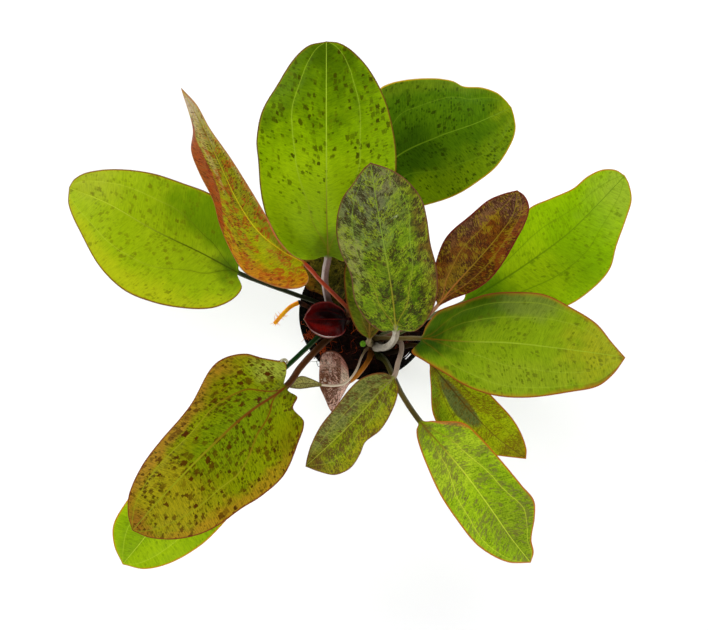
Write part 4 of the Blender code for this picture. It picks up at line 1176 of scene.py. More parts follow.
LEAF_FINISHES = {
    "leaf_left": LeafFinish(
        body=(142, 164, 14), shade=(134, 158, 8), margin=(170, 136, 12),
        vein=(170, 186, 44), rib=(56, 62, 2),
        stalk_low=(18, 20, 12), stalk_high=(34, 40, 18),
        washes=(
            # Painted shade in the first two washes: the base, which the folded leaf above shades
            # over a darker green of its own, and the upper half past the side vein, which folds
            # away from the light.
            Wash((70, 98, 3), 0.0, 0.1, 0.17, 1.1, 0.95),
            Wash((96, 128, 3), 0.27, 0.66, 0.3, 0.5, 0.95),
            Wash((162, 170, 18), 0.6, -1.0, 0.55, 0.36),
            Wash((150, 156, 34), 0.95, 0.6, 0.25, 0.8, 0.5),
        ),
        spots=(
            Spots(Marks.DASHES, (92, 100, 4), 1.1, 1.2, 0.2, 0.55),
            Spots(Marks.BLOTCHES, (94, 92, 6), 2.3, 2.0, 0.14, 0.65),
        ),
        edge=(104, 44, 12), margin_share=0.6, rib_reach=0.8, streak=0.26,
    ),
    "leaf_folded_orange": LeafFinish(
        body=(140, 146, 0), shade=(136, 124, 4), margin=(176, 76, 24),
        vein=(190, 176, 20), rib=(186, 150, 20),
        stalk_low=(56, 28, 12), stalk_high=(156, 52, 26),
        washes=(
            Wash((172, 104, 14), 0.12, -1.0, 0.5, 0.4, 0.8),
            Wash((108, 108, 4), 0.22, 0.62, 0.42, 0.45, 0.95, 0.5),
            Wash((122, 124, 6), 0.58, 0.3, 0.34, 0.8, 0.9),
            Wash((146, 134, 76), 1.0, 0.1, 0.32, 1.3, 0.95),
            Wash((172, 154, 128), 1.05, 0.0, 0.2, 1.8, 0.95),
            Wash((150, 134, 70), 0.74, -0.28, 0.2, 0.1, 0.8, 0.4),
            Wash((130, 60, 24), 0.68, -1.05, 0.22, 0.62, 0.95, 0.1),
            Wash((160, 146, 70), 0.6, 1.0, 0.4, 0.25, 0.7),
            Wash((196, 66, 30), 0.1, 1.0, 0.24, 0.2, 0.8, 0.4),
        ),
        spots=(
            Spots(Marks.MOTTLE, (146, 54, 10), 0.6, 1.5, 0.58, 0.75, 0.25, 0.2, 0.75),
            Spots(Marks.DASHES, (66, 22, 6), 0.7, 1.6, 0.6, 0.85, 0.3, 0.6, 0.34),
            Spots(Marks.BLOTCHES, (96, 34, 4), 1.9, 1.8, 0.2, 0.75, 0.12, 0.4, 0.7),
        ),
        edge=(146, 104, 60), margin_width=0.9, margin_share=0.6, streak=0.55, vein_share=0.8,
        stalk_highlight=(176, 128, 92), stalk_highlight_share=0.3,
    ),
    "leaf_top": LeafFinish(
        body=(130, 164, 2), shade=(120, 155, 0), margin=(150, 128, 20),
        vein=(164, 190, 50), rib=(130, 110, 30),
        # The dark lower stalk colour is painted shade where the stalk goes down under the leaves.
        stalk_low=(44, 30, 26), stalk_high=(116, 92, 84),
        washes=(
            Wash((80, 110, 0), 1.02, -0.15, 0.48, 1.7, 0.97),
            Wash((52, 76, 0), 1.05, -0.1, 0.24, 1.6, 0.75),
            Wash((152, 184, 8), 0.34, -0.2, 0.2, 1.3, 0.85),
            # Painted shadow: the centre leaf's shadow beside the lower midrib.
            Wash((80, 108, 0), 0.1, 0.6, 0.14, 0.45, 0.8),
            Wash((86, 108, 4), 0.0, 0.2, 0.15, 1.1, 0.9),
            Wash((80, 108, 6), 0.78, -0.85, 0.2, 0.3, 0.6),
        ),
        spots=(
            Spots(Marks.DASHES, (56, 66, 0), 1.2, 1.4, 0.15, 0.7, 0.12, 0.85, 0.7),
            Spots(Marks.BLOTCHES, (52, 48, 0), 2.6, 1.9, 0.25, 0.9, 0.1, 0.86, 0.56),
            Spots(Marks.BLOTCHES, (94, 104, 4), 2.0, 1.9, 0.12, 0.5, 0.1, 0.3, 0.6),
        ),
        edge=(84, 36, 14), streak=0.36, rib_reach=0.5,
        stalk_highlight=(190, 176, 170), stalk_highlight_share=0.6,
    ),
    "leaf_top_right": LeafFinish(
        body=(74, 108, 5), shade=(64, 98, 4), margin=(130, 136, 12),
        vein=(110, 142, 24), rib=(106, 136, 20),
        stalk_low=(34, 40, 10), stalk_high=(50, 74, 8),
        washes=(
            Wash((108, 136, 6), 0.55, 1.0, 0.7, 0.6, 0.85),
            # Painted shadow: the top leaf's shadow along the lower midrib.
            Wash((50, 80, 4), 0.25, 0.0, 0.3, 0.5, 0.9),
            Wash((122, 140, 14), 1.0, 0.0, 0.12, 1.6, 0.8, 1.2),
            # Painted light: a paler patch that lifts the shade near the base of the right side.
            Wash((120, 150, 4), 0.22, 0.95, 0.28, 0.55, 0.85),
            Wash((94, 116, 12), 0.55, -1.0, 0.6, 0.25, 0.7),
        ),
        spots=(
            Spots(Marks.DASHES, (30, 46, 0), 1.0, 1.3, 0.24, 0.75),
            Spots(Marks.BLOTCHES, (36, 42, 0), 1.9, 1.8, 0.14, 0.75),
        ),
        edge=(180, 140, 10), streak=0.45,
    ),
    "leaf_centre": LeafFinish(
        body=(96, 124, 8), shade=(86, 106, 10), margin=(104, 76, 34),
        vein=(118, 144, 40), rib=(132, 124, 28),
        stalk_low=(60, 54, 44), stalk_high=(130, 120, 102),
        washes=(
            Wash((62, 84, 0), 0.16, 0.35, 0.26, 0.85, 0.9),
            # Painted sheen: the grey haze over the tip's left and right, where light glances off
            # the blade.
            Wash((94, 96, 66), 0.88, -0.4, 0.34, 1.0, 0.9),
            Wash((100, 98, 60), 0.98, 0.5, 0.2, 0.8, 0.85),
            Wash((124, 124, 68), 0.48, -0.9, 0.2, 0.4, 0.8),
            Wash((90, 62, 20), 0.5, 1.0, 0.42, 0.36, 0.85),
            Wash((170, 184, 130), 0.69, 0.33, 0.006, 0.1, 0.6, 0.5),
            Wash((150, 146, 122), 0.01, 0.0, 0.05, 0.3, 0.8, 0.8),
        ),
        spots=(
            Spots(Marks.MOTTLE, (42, 34, 12), 0.4, 0.75, 0.66, 0.85, 0.3),
            Spots(Marks.MOTTLE, (134, 154, 24), 0.4, 0.7, 0.52, 0.6, 0.25),
            Spots(Marks.BLOTCHES, (56, 34, 14), 2.0, 1.7, 0.22, 0.75, 0.16),
        ),
        edge=(96, 50, 34), rib_reach=0.62, grain=0.5, streak=0.85, vein_share=0.7,
        stalk_highlight=(196, 188, 172), stalk_highlight_share=0.7,
    ),
    "leaf_centre_behind": LeafFinish(
        body=(84, 100, 10), shade=(74, 82, 8), margin=(140, 90, 20),
        vein=(110, 126, 30), rib=(120, 90, 30),
        stalk_low=(90, 80, 60), stalk_high=(120, 104, 70),
        washes=(Wash((76, 56, 8), 0.1, 0.2, 0.3, 0.7, 0.8),),
        spots=(Spots(Marks.MOTTLE, (50, 56, 8), 1.2, 1.2, 0.5, 0.6),),
        streak=0.9,
    ),
    "leaf_red_brown": LeafFinish(
        body=(102, 60, 8), shade=(88, 44, 8), margin=(96, 32, 16),
        vein=(138, 116, 24), rib=(160, 96, 40),
        stalk_low=(90, 60, 44), stalk_high=(160, 116, 86),
        washes=(
            # Painted sheen: the greyish haze over the tip.
            Wash((106, 76, 56), 1.0, -0.1, 0.24, 1.2, 0.9),
            Wash((112, 90, 12), 0.2, -0.1, 0.25, 0.5, 0.7),
            Wash((112, 56, 12), 0.62, 0.7, 0.3, 0.5, 0.8),
            Wash((104, 76, 48), 0.7, -0.9, 0.3, 0.4, 0.7),
        ),
        spots=(
            Spots(Marks.MOTTLE, (134, 112, 12), 0.42, 1.8, 0.56, 0.75, 0.3),
            Spots(Marks.MOTTLE, (48, 18, 8), 0.5, 1.3, 0.56, 0.8),
        ),
        edge=(96, 20, 20), grain=0.5, streak=1.0, rib_reach=0.5, vein_share=0.7,
    ),
    "leaf_right_back": LeafFinish(
        body=(136, 173, 4), shade=(124, 163, 2), margin=(154, 156, 12),
        vein=(96, 128, 8), rib=(70, 100, 6),
        stalk_low=(60, 66, 30), stalk_high=(110, 112, 70),
        washes=(
            Wash((152, 184, 10), 0.36, 0.1, 0.18, 0.8, 0.85),
            # Painted shade: the darker base, where the neighbouring leaves overlap it.
            Wash((84, 122, 5), 0.08, 0.0, 0.18, 1.2, 0.9),
            Wash((134, 158, 40), 1.0, 0.2, 0.3, 1.4, 0.8),
            Wash((108, 150, 2), 0.66, 0.1, 0.2, 0.8, 0.5),
        ),
        spots=(
            Spots(Marks.DASHES, (84, 112, 4), 1.0, 1.3, 0.2, 0.55, 0.12, 0.85, 0.7),
            Spots(Marks.BLOTCHES, (86, 108, 6), 2.0, 1.8, 0.14, 0.6, 0.12, 0.85, 0.7),
        ),
        edge=(166, 104, 14), vein_width=0.28, vein_share=0.6, margin_share=0.4, streak=0.32,
        rib_width=0.16,
    ),
    "leaf_right": LeafFinish(
        body=(116, 142, 14), shade=(108, 134, 10), margin=(160, 112, 28),
        vein=(146, 168, 40), rib=(124, 80, 16),
        stalk_low=(52, 42, 20), stalk_high=(92, 78, 40),
        washes=(
            # Painted shade: the dark base and the dark left margin near it, where the centre and
            # red-brown leaves overlap it.
            Wash((42, 74, 3), 0.0, -0.1, 0.22, 1.7, 0.97),
            Wash((66, 96, 5), 0.25, -0.9, 0.3, 0.6, 0.95),
            Wash((142, 146, 22), 1.0, 0.0, 0.33, 1.6, 0.85),
            Wash((104, 118, 44), 0.52, -0.75, 0.14, 0.35, 0.7),
            Wash((128, 146, 26), 0.55, 0.6, 0.25, 0.4, 0.6),
            Wash((110, 96, 22), 0.92, 1.0, 0.16, 0.22, 0.8, 0.4),
            Wash((92, 76, 20), 1.02, 0.0, 0.06, 1.6, 0.85, 0.4),
        ),
        spots=(
            Spots(Marks.DASHES, (66, 82, 4), 1.1, 1.4, 0.14, 0.6),
            Spots(Marks.BLOTCHES, (74, 78, 12), 2.6, 2.0, 0.16, 0.6),
        ),
        edge=(134, 62, 18), margin_width=2.0, margin_share=0.7, vein_share=0.38, streak=0.36,
    ),
    "leaf_lower_right_back": LeafFinish(
        body=(156, 172, 12), shade=(146, 158, 10), margin=(166, 120, 14),
        vein=(104, 74, 20), rib=(74, 44, 12),
        stalk_low=(16, 10, 4), stalk_high=(48, 34, 12),
        washes=(
            # Painted sheen: the grey haze along the fold beside the midrib.
            Wash((88, 96, 48), 0.34, 0.1, 0.24, 0.3, 0.95, 0.3),
            Wash((86, 86, 10), 0.0, 0.2, 0.2, 1.2, 0.8),
            Wash((134, 122, 12), 1.0, 0.0, 0.22, 1.6, 0.8),
            Wash((104, 126, 10), 0.3, 0.8, 0.3, 0.4, 0.9),
        ),
        spots=(
            Spots(Marks.MOTTLE, (112, 82, 14), 0.6, 1.2, 0.56, 0.7),
            Spots(Marks.BLOTCHES, (86, 66, 16), 1.8, 1.6, 0.16, 0.65),
        ),
        edge=(166, 92, 16), grain=0.5, streak=0.8, rib_reach=0.7,
    ),
    "leaf_lower_right": LeafFinish(
        body=(136, 166, 20), shade=(122, 152, 12), margin=(160, 124, 38),
        vein=(180, 194, 50), rib=(112, 84, 20),
        stalk_low=(34, 38, 12), stalk_high=(80, 66, 24),
        washes=(
            Wash((108, 130, 22), 0.8, -0.35, 0.26, 0.9, 0.75),
            Wash((112, 128, 6), 0.0, 0.0, 0.12, 1.2, 0.8),
            Wash((150, 170, 40), 0.3, 0.0, 0.14, 1.4, 0.6),
            Wash((108, 138, 14), 0.5, -0.6, 0.2, 0.4, 0.6),
            Wash((176, 96, 50), 0.08, -1.0, 0.16, 0.25, 0.8, 0.4),
        ),
        spots=(
            Spots(Marks.MOTTLE, (98, 92, 44), 0.7, 1.8, 0.56, 0.65),
            Spots(Marks.BLOTCHES, (92, 78, 40), 2.0, 1.8, 0.12, 0.6),
        ),
        edge=(170, 84, 20), grain=0.5, streak=0.85, vein_share=0.7,
    ),
    "leaf_lower_centre": LeafFinish(
        body=(120, 134, 14), shade=(108, 118, 14), margin=(128, 96, 26),
        vein=(146, 154, 44), rib=(120, 116, 60),
        stalk_low=(80, 66, 54), stalk_high=(138, 120, 104),
        washes=(
            # Painted sheen: a grey haze over the right half of the blade.
            Wash((102, 106, 50), 0.4, 0.75, 0.9, 0.75, 0.95),
            Wash((126, 124, 10), 0.4, -0.95, 0.7, 0.4, 0.8),
            Wash((98, 84, 24), 1.0, 0.0, 0.2, 1.4, 0.9),
        ),
        spots=(
            Spots(Marks.MOTTLE, (76, 46, 22), 0.5, 1.2, 0.6, 0.75, 0.2),
            Spots(Marks.BLOTCHES, (76, 50, 34), 1.6, 1.4, 0.16, 0.65),
        ),
        edge=(96, 44, 24), grain=0.5, streak=1.1,
    ),
    "leaf_withered": LeafFinish(
        body=(182, 148, 136), shade=(164, 120, 108), margin=(140, 84, 66),
        vein=(120, 76, 56), rib=(124, 84, 60),
        stalk_low=(110, 64, 16), stalk_high=(160, 96, 24),
        washes=(
            Wash((104, 66, 40), 1.0, 0.0, 0.46, 1.5, 0.85),
            Wash((196, 176, 158), 0.2, 0.2, 0.15, 0.5, 0.7),
            Wash((150, 96, 88), 0.3, 0.95, 0.3, 0.3, 0.8),
            # Painted shade: these two thin dark lines draw the crease of the inverted-V fold.
            Wash((92, 58, 44), 0.42, -0.1, 0.2, 0.09, 0.8, 0.2),
            Wash((100, 62, 44), 0.36, 0.45, 0.05, 0.5, 0.7, 0.3),
        ),
        spots=(
            Spots(Marks.MOTTLE, (78, 42, 26), 0.7, 1.0, 0.66, 0.85, 0.2, 0.9, 0.75),
            Spots(Marks.BLOTCHES, (66, 36, 20), 2.0, 1.6, 0.3, 0.8, 0.2, 0.95, 0.6),
            Spots(Marks.BLOTCHES, (196, 178, 164), 1.5, 1.1, 0.2, 0.7, 0.3, 0.9, 0.6),
        ),
        edge=(96, 52, 36), grain=0.5, streak=1.2, gloss=Gloss(0.6, 0.05),
    ),
    "leaf_lower_left": LeafFinish(
        body=(114, 126, 2), shade=(106, 108, 2), margin=(150, 92, 24),
        vein=(134, 138, 20), rib=(104, 52, 8),
        stalk_low=(20, 12, 4), stalk_high=(70, 36, 8),
        washes=(
            Wash((98, 118, 4), 0.34, 0.0, 0.34, 0.5, 0.9),
            Wash((140, 130, 16), 0.78, -0.1, 0.2, 1.6, 0.85),
            Wash((132, 86, 24), 1.0, 0.0, 0.12, 1.6, 0.85),
            Wash((84, 90, 4), 0.0, -0.2, 0.1, 1.4, 0.8),
            Wash((146, 104, 26), 0.62, 1.0, 0.45, 0.35, 0.8),
            Wash((150, 116, 20), 0.6, -1.0, 0.4, 0.25, 0.8),
            Wash((150, 160, 60), 0.12, 0.75, 0.1, 0.3, 0.6),
            Wash((186, 182, 168), 0.0, 0.95, 0.05, 0.2, 0.9, 0.3),
        ),
        spots=(
            Spots(Marks.DASHES, (52, 48, 0), 1.0, 1.1, 0.22, 0.8),
            Spots(Marks.BLOTCHES, (68, 32, 2), 3.2, 2.6, 0.3, 1.0),
            Spots(Marks.BLOTCHES, (60, 38, 2), 1.7, 1.6, 0.26, 0.95),
        ),
        edge=(96, 30, 14), rib_reach=0.62, rib_width=0.36, vein_width=0.34,
        vein_share=0.9, streak=0.6, stalk_highlight=(110, 80, 60),
    ),
    "leaf_lower_left_back": LeafFinish(
        body=(140, 168, 11), shade=(130, 161, 7), margin=(170, 160, 12),
        vein=(180, 200, 50), rib=(120, 150, 20),
        stalk_low=(10, 34, 8), stalk_high=(20, 60, 12),
        washes=(Wash((113, 145, 7), 0.8, 0.35, 0.25, 0.5, 0.8),),
        spots=(Spots(Marks.DASHES, (96, 120, 6), 1.1, 1.2, 0.22, 0.6),),
        edge=(176, 110, 10), margin_share=0.6, streak=0.34,
    ),
    "leaf_narrow_young": LeafFinish(
        body=(151, 149, 86), shade=(132, 127, 65), margin=(110, 96, 50),
        vein=(84, 66, 40), rib=(100, 84, 50),
        stalk_low=(120, 96, 72), stalk_high=(196, 180, 160),
        edge=(96, 84, 50), grain=0.5, streak=1.2, vein_share=0.3,
    ),
    "leaf_dark_behind": LeafFinish(
        # The leaf lies in the shadow of the leaves above it: its dark body and shade colours are
        # partly painted shade.
        body=(65, 60, 10), shade=(44, 44, 5), margin=(90, 60, 20),
        vein=(80, 70, 16), rib=(60, 44, 10),
        stalk_low=(40, 34, 10), stalk_high=(50, 44, 12),
        washes=(Wash((120, 78, 18), 0.38, -0.9, 0.3, 0.55, 0.9),),
        spots=(
            # Painted shadow: the near-black blotches.
            Spots(Marks.BLOTCHES, (12, 8, 2), 1.8, 1.8, 0.7, 0.9, 0.3),
            Spots(Marks.MOTTLE, (96, 84, 20), 0.8, 1.2, 0.5, 0.7, 0.3),
        ),
        grain=0.5, streak=1.4,
    ),
    "leaf_wine_red_young": LeafFinish(
        body=(72, 2, 2), shade=(46, 1, 1), margin=(70, 8, 8),
        vein=(110, 14, 10), rib=(40, 2, 2),
        stalk_low=(34, 6, 6), stalk_high=(48, 6, 6),
        washes=(
            # Painted shade: the near-black washes darken the hollow of the cup near its base.
            Wash((12, 1, 2), 0.3, 0.35, 0.4, 0.5, 0.95, 0.6),
            Wash((8, 1, 1), 0.1, 0.0, 0.2, 1.2, 0.95, 0.6),
            # Painted highlights: the brighter red band, and the white and pale washes along both
            # rims.
            Wash((120, 12, 8), 0.62, -0.5, 0.3, 0.25, 0.7, 0.8),
            Wash((248, 238, 232), 0.62, -1.04, 0.42, 0.13, 0.98, 0.08),
            Wash((210, 180, 176), 0.85, 1.0, 0.12, 0.14, 0.8, 0.3),
        ),
        # The pinkish edge line is a painted highlight along the rim.
        edge=(110, 40, 36), vein_share=0.2, streak=0.5, gloss=Gloss(0.16, 0.03),
    ),
}


@dataclass(frozen=True)
class PlainFinish:
    """The look of a plain uneven surface: two colours of noise, with a fine bump.

    The grain is the noise's scale in marks to a metre, and the relief the bump's metres.
    """

    name: str
    gloss: Gloss
    light: Colour
    dark: Colour
    grain: float
    relief: float
    patch_scale: float = 0.2
    detail: float = 3.0
    noise_rough: float = 0.6
    colour_edge: tuple[float, float] = (0.38, 0.62)
    rough_spread: float = 0.2

    def paint(self) -> bpy.types.Material:
        """Return the finished material."""
        finish = Finish(self.name, self.gloss)
        graph = finish.graph
        place = graph.add("ShaderNodeTexCoord", {}, {}).outputs["Object"]
        patches = graph.noise(place, self.grain * self.patch_scale, self.detail)
        grain = graph.noise(place, self.grain, self.detail, self.noise_rough)
        share = (patches * 0.5 + grain * 0.5).step(*self.colour_edge)
        rough = grain * self.rough_spread + (self.gloss.roughness - self.rough_spread / 2)
        colour = graph.mix(share, self.dark, self.light)
        return finish.close(colour, rough, graph.bump(grain, self.relief))


FLOOR_WHITE = (0.93, 0.93, 0.94)
POT_PLASTIC = PlainFinish(
    "pot_plastic", Gloss(0.25, 0.2), tint(12, 9, 9), tint(6, 5, 5), 900.0, 0.00003)
WET_FIBRE = PlainFinish(
    "wet_fibre", Gloss(0.7, 0.08), tint(40, 17, 10), tint(8, 4, 3), 1400.0, 0.0003)
DRY_FIBRE = PlainFinish(
    "dry_fibre", Gloss(0.6, 0.08), tint(92, 34, 18), tint(16, 7, 5), 300.0, 0.00005)
ROOTSTOCK_BARK = PlainFinish(
    "rootstock_bark", Gloss(0.7), tint(74, 44, 26), tint(24, 14, 8), 900.0, 0.0002)
GREEN_STALK = PlainFinish(
    "green_stalk", Gloss(0.35), tint(130, 186, 40), tint(84, 134, 20), 700.0, 0.00005)
ROOT_BARK = PlainFinish(
    "root_bark", Gloss(0.6, 0.05), tint(70, 34, 14), tint(22, 12, 8), 300.0, 0.0001)
ORANGE_SKIN = PlainFinish(
    "orange_skin", Gloss(0.35, 0.1), tint(248, 176, 14), tint(226, 132, 6), 600.0, 0.00005)
CURLED_LOBE_SKIN = PlainFinish(
    "curled_lobe_skin", Gloss(0.45, 0.1), tint(196, 190, 176), tint(128, 124, 92), 500.0, 0.0001)
RED_FIBRE = PlainFinish(
    "red_fibres_skin", Gloss(0.5, 0.1), tint(206, 84, 22), tint(110, 30, 10), 200.0, 0.00003)
BLACK_HAIR = PlainFinish(
    "black_hairs_skin", Gloss(0.5, 0.1), tint(40, 22, 16), tint(8, 4, 4), 200.0, 0.00003)


@dataclass
class Crown:
    """A rootstock: a short cone in sheaths, which the leaves grow out of."""

    name: str
    x: float
    y: float
    bottom: float = 46.1
    height: float = 6.4
    radius: float = 3.3
    rings: int = 26
    sides: int = 48
    fullness: float = 2.6
    core: float = 0.88
    ridge: float = 0.12
    sheaths: float = 3.5
    heart_share: float = 0.35

    def build(self, material: bpy.types.Material) -> bpy.types.Object:
        """Make the cone with its sheath ridges, and seat it."""
        angles = ring_angles(self.sides)
        rings = []
        for index in range(self.rings):
            rise = index / (self.rings - 1)
            profile = math.sqrt(max(0.0, 1 - rise ** self.fullness))
            ridges = np.abs(np.sin(angles * self.sheaths + 2.0 * np.sin(rise * 9.0)))
            radius = self.radius * profile * (self.core + self.ridge * ridges * (1 - rise))
            height = self.bottom + self.height * rise
            rings.append(level_ring(radius, angles, height, self.x, self.y))
        thing = loft(self.name + "_sheathed", rings)
        settle(thing, material, "rootstock", self.name)
        return thing

    @property
    def heart(self) -> tuple[float, float, float]:
        """The place inside the cone that the stalks grow from."""
        return (self.x, self.y, self.bottom + self.heart_share * self.height)


@dataclass
class NetPot:
    """The round net pot: a turned wall with a rim, opened by slots."""

    height: float = 50.0
    base_radius: float = 17.5
    top_radius: float = 24.2
    rim_radius: float = 25.4
    rim_depth: float = 1.5
    wall: float = 1.2
    floor: float = 1.5
    sides: int = 192
    slots: int = 16
    slot_width: float = 3.0
    slot_bottom: float = 10.0
    slot_top: float = 46.5
    slot_cut: tuple[float, float] = (16.0, 10.5)
    first_slot: float = math.radians(-44.5)
    floor_slots: int = 8
    floor_slot_width: float = 2.6
    floor_slot_reach: tuple[float, float] = (9.5, 15.5)
    floor_slot_cut: tuple[float, float] = (-1.0, 4.0)
    slit_reach: tuple[float, float] = (23.15, 23.6)
    slit_length: float = 2.9
    slit_cut: tuple[float, float] = (44.0, 8.0)
    round_steps: int = 8
    edge_radius: float = 0.25
    edge_segments: int = 2
    edge_angle: float = math.radians(35)
    sharp_angle: float = math.radians(50)

    def wall_radius(self, height: float) -> float:
        """Return the wall's outer radius at a height."""
        slope = (self.top_radius - self.base_radius) / (self.height - self.rim_depth)
        return self.base_radius + slope * height

    def profile(self) -> tuple[tuple[float, float], ...]:
        """Return the (radius, height) outline that is turned, from inside to underneath."""
        under = self.height - self.rim_depth
        return (
            (self.wall_radius(self.floor) - self.wall, self.floor),
            (self.wall_radius(self.height) - self.wall, self.height),
            (self.rim_radius, self.height),
            (self.rim_radius, under),
            (self.top_radius, under),
            (self.base_radius, 0.0),
        )

    def slot_outline(self, low: float, high: float, width: float) -> list[tuple[float, float]]:
        """Return a slot's round-ended outline as (along, sideways) points."""
        radius = width / 2
        outline = []
        for centre, start in ((high - radius, -math.pi / 2), (low + radius, math.pi / 2)):
            for index in range(self.round_steps + 1):
                angle = start + math.pi * index / self.round_steps
                outline.append((centre + radius * math.cos(angle), radius * math.sin(angle)))
        return outline

    def rim_cutter(self) -> bpy.types.Object:
        """Make the prism that cuts a slit down through the rim to the first slot."""
        near, far = self.slit_reach
        half = self.slit_length / 2
        level, depth = self.slit_cut
        corners = ((near, -half), (far, -half), (far, half), (near, half))
        outline = [(out, side, level) for out, side in corners]
        return self.prisms("slit_cutter", [(self.first_slot, outline, Vector((0, 0, depth)))])

    def slot_cutter(self) -> bpy.types.Object:
        """Make the prisms that open the wall and the floor."""
        full = 2 * math.pi
        inner, reach = self.slot_cut
        outline = self.slot_outline(self.slot_bottom, self.slot_top, self.slot_width)
        outline = [(inner, side, up) for up, side in outline]
        cuts = [
            (self.first_slot + full * index / self.slots, outline, Vector((reach, 0, 0)))
            for index in range(self.slots)
        ]
        level, depth = self.floor_slot_cut
        outline = self.slot_outline(*self.floor_slot_reach, self.floor_slot_width)
        outline = [(out, side, level) for out, side in outline]
        cuts += [
            (full * index / self.floor_slots, outline, Vector((0, 0, depth)))
            for index in range(self.floor_slots)
        ]
        return self.prisms("slot_cutter", cuts)

    @staticmethod
    def prisms(name: str, cuts: list[tuple[float, list, Vector]]) -> bpy.types.Object:
        """Make a cutting object of prisms.

        Args:
            name: The object's name.
            cuts: Each prism's turn about the pot's axis, its outline, and its push.

        Returns:
            The object.
        """
        shape = bmesh.new()
        for angle, outline, push in cuts:
            turn = Matrix.Rotation(angle, 4, "Z")
            near = [shape.verts.new(turn @ Vector(point) * MM) for point in outline]
            far = [shape.verts.new(turn @ (Vector(point) + push) * MM) for point in outline]
            shape.faces.new(near)
            shape.faces.new(far[::-1])
            for index in range(len(outline)):
                after = (index + 1) % len(outline)
                shape.faces.new((near[index], near[after], far[after], far[index]))
        bmesh.ops.recalc_face_normals(shape, faces=shape.faces)
        mesh = bpy.data.meshes.new(name)
        shape.to_mesh(mesh)
        shape.free()
        return add_object(name, mesh)

    def build(self) -> bpy.types.Object:
        """Turn the pot, open its slots, round its edges and seat it."""
        angles = ring_angles(self.sides)
        rings = [level_ring(radius, angles, height) for radius, height in self.profile()]
        thing = loft("net_pot", rings)
        cutters = (self.slot_cutter(), self.rim_cutter())
        for cutter in cutters:
            cut = thing.modifiers.new(cutter.name, "BOOLEAN")
            cut.operation = "DIFFERENCE"
            cut.solver = "EXACT"
            cut.object = cutter
        bevel = thing.modifiers.new("edges", "BEVEL")
        bevel.width = self.edge_radius * MM
        bevel.segments = self.edge_segments
        bevel.limit_method = "ANGLE"
        bevel.angle_limit = self.edge_angle
        bake_modifiers(thing)
        for cutter in cutters:
            bpy.data.objects.remove(cutter)
        thing.data.shade_smooth()
        thing.data.set_sharp_from_angle(angle=self.sharp_angle)
        settle(thing, POT_PLASTIC.paint(), "pot", "pot")
        return thing


def bake_modifiers(thing: bpy.types.Object) -> None:
    """Turn an object's modifiers into its mesh."""
    graph = bpy.context.evaluated_depsgraph_get()
    mesh = bpy.data.meshes.new_from_object(thing.evaluated_get(graph))
    old = thing.data
    thing.modifiers.clear()
    thing.data = mesh
    bpy.data.meshes.remove(old)


class Strands:
    """Many thin tubes joined in one mesh, such as fibres and root hairs."""

    ASIDE = (0.31, 0.22, 0.93)

    def __init__(self, name: str, sides: int = 5) -> None:
        """Start an empty bundle."""
        self.name = name
        self.angles = ring_angles(sides)
        self.points: list[np.ndarray] = []
        self.faces: list = []
        self.count = 0

    def add(self, route: Points, radius: float, tip: float = 0.4, steps: int = 10) -> None:
        """Add one tube along a smooth route.

        Args:
            route: The points that it follows.
            radius: Its radius at the start.
            tip: The share of the radius that it ends with.
            steps: How many rings it has.
        """
        share = np.linspace(0, 1, steps)
        centre = SmoothCurve(route).at(share)
        ahead = unit(np.gradient(centre, axis=0))
        side = unit(np.cross(ahead, np.array(self.ASIDE)))
        ring = across_route(side, np.cross(side, ahead), self.angles)
        width = radius * (1 - (1 - tip) * share)
        points = centre[:, None] + ring * width[:, None, None]
        for face in ring_faces(steps, len(self.angles), True, True):
            self.faces.append(tuple(index + self.count for index in face))
        self.points.append(points.reshape(-1, 3))
        self.count += steps * len(self.angles)

    def build(self, finish: PlainFinish, slot: str, *nodes: str) -> bpy.types.Object:
        """Join the tubes in one mesh and seat it."""
        thing = mesh_object(self.name, np.concatenate(self.points), self.faces)
        settle(thing, finish.paint(), slot, *nodes)
        return thing


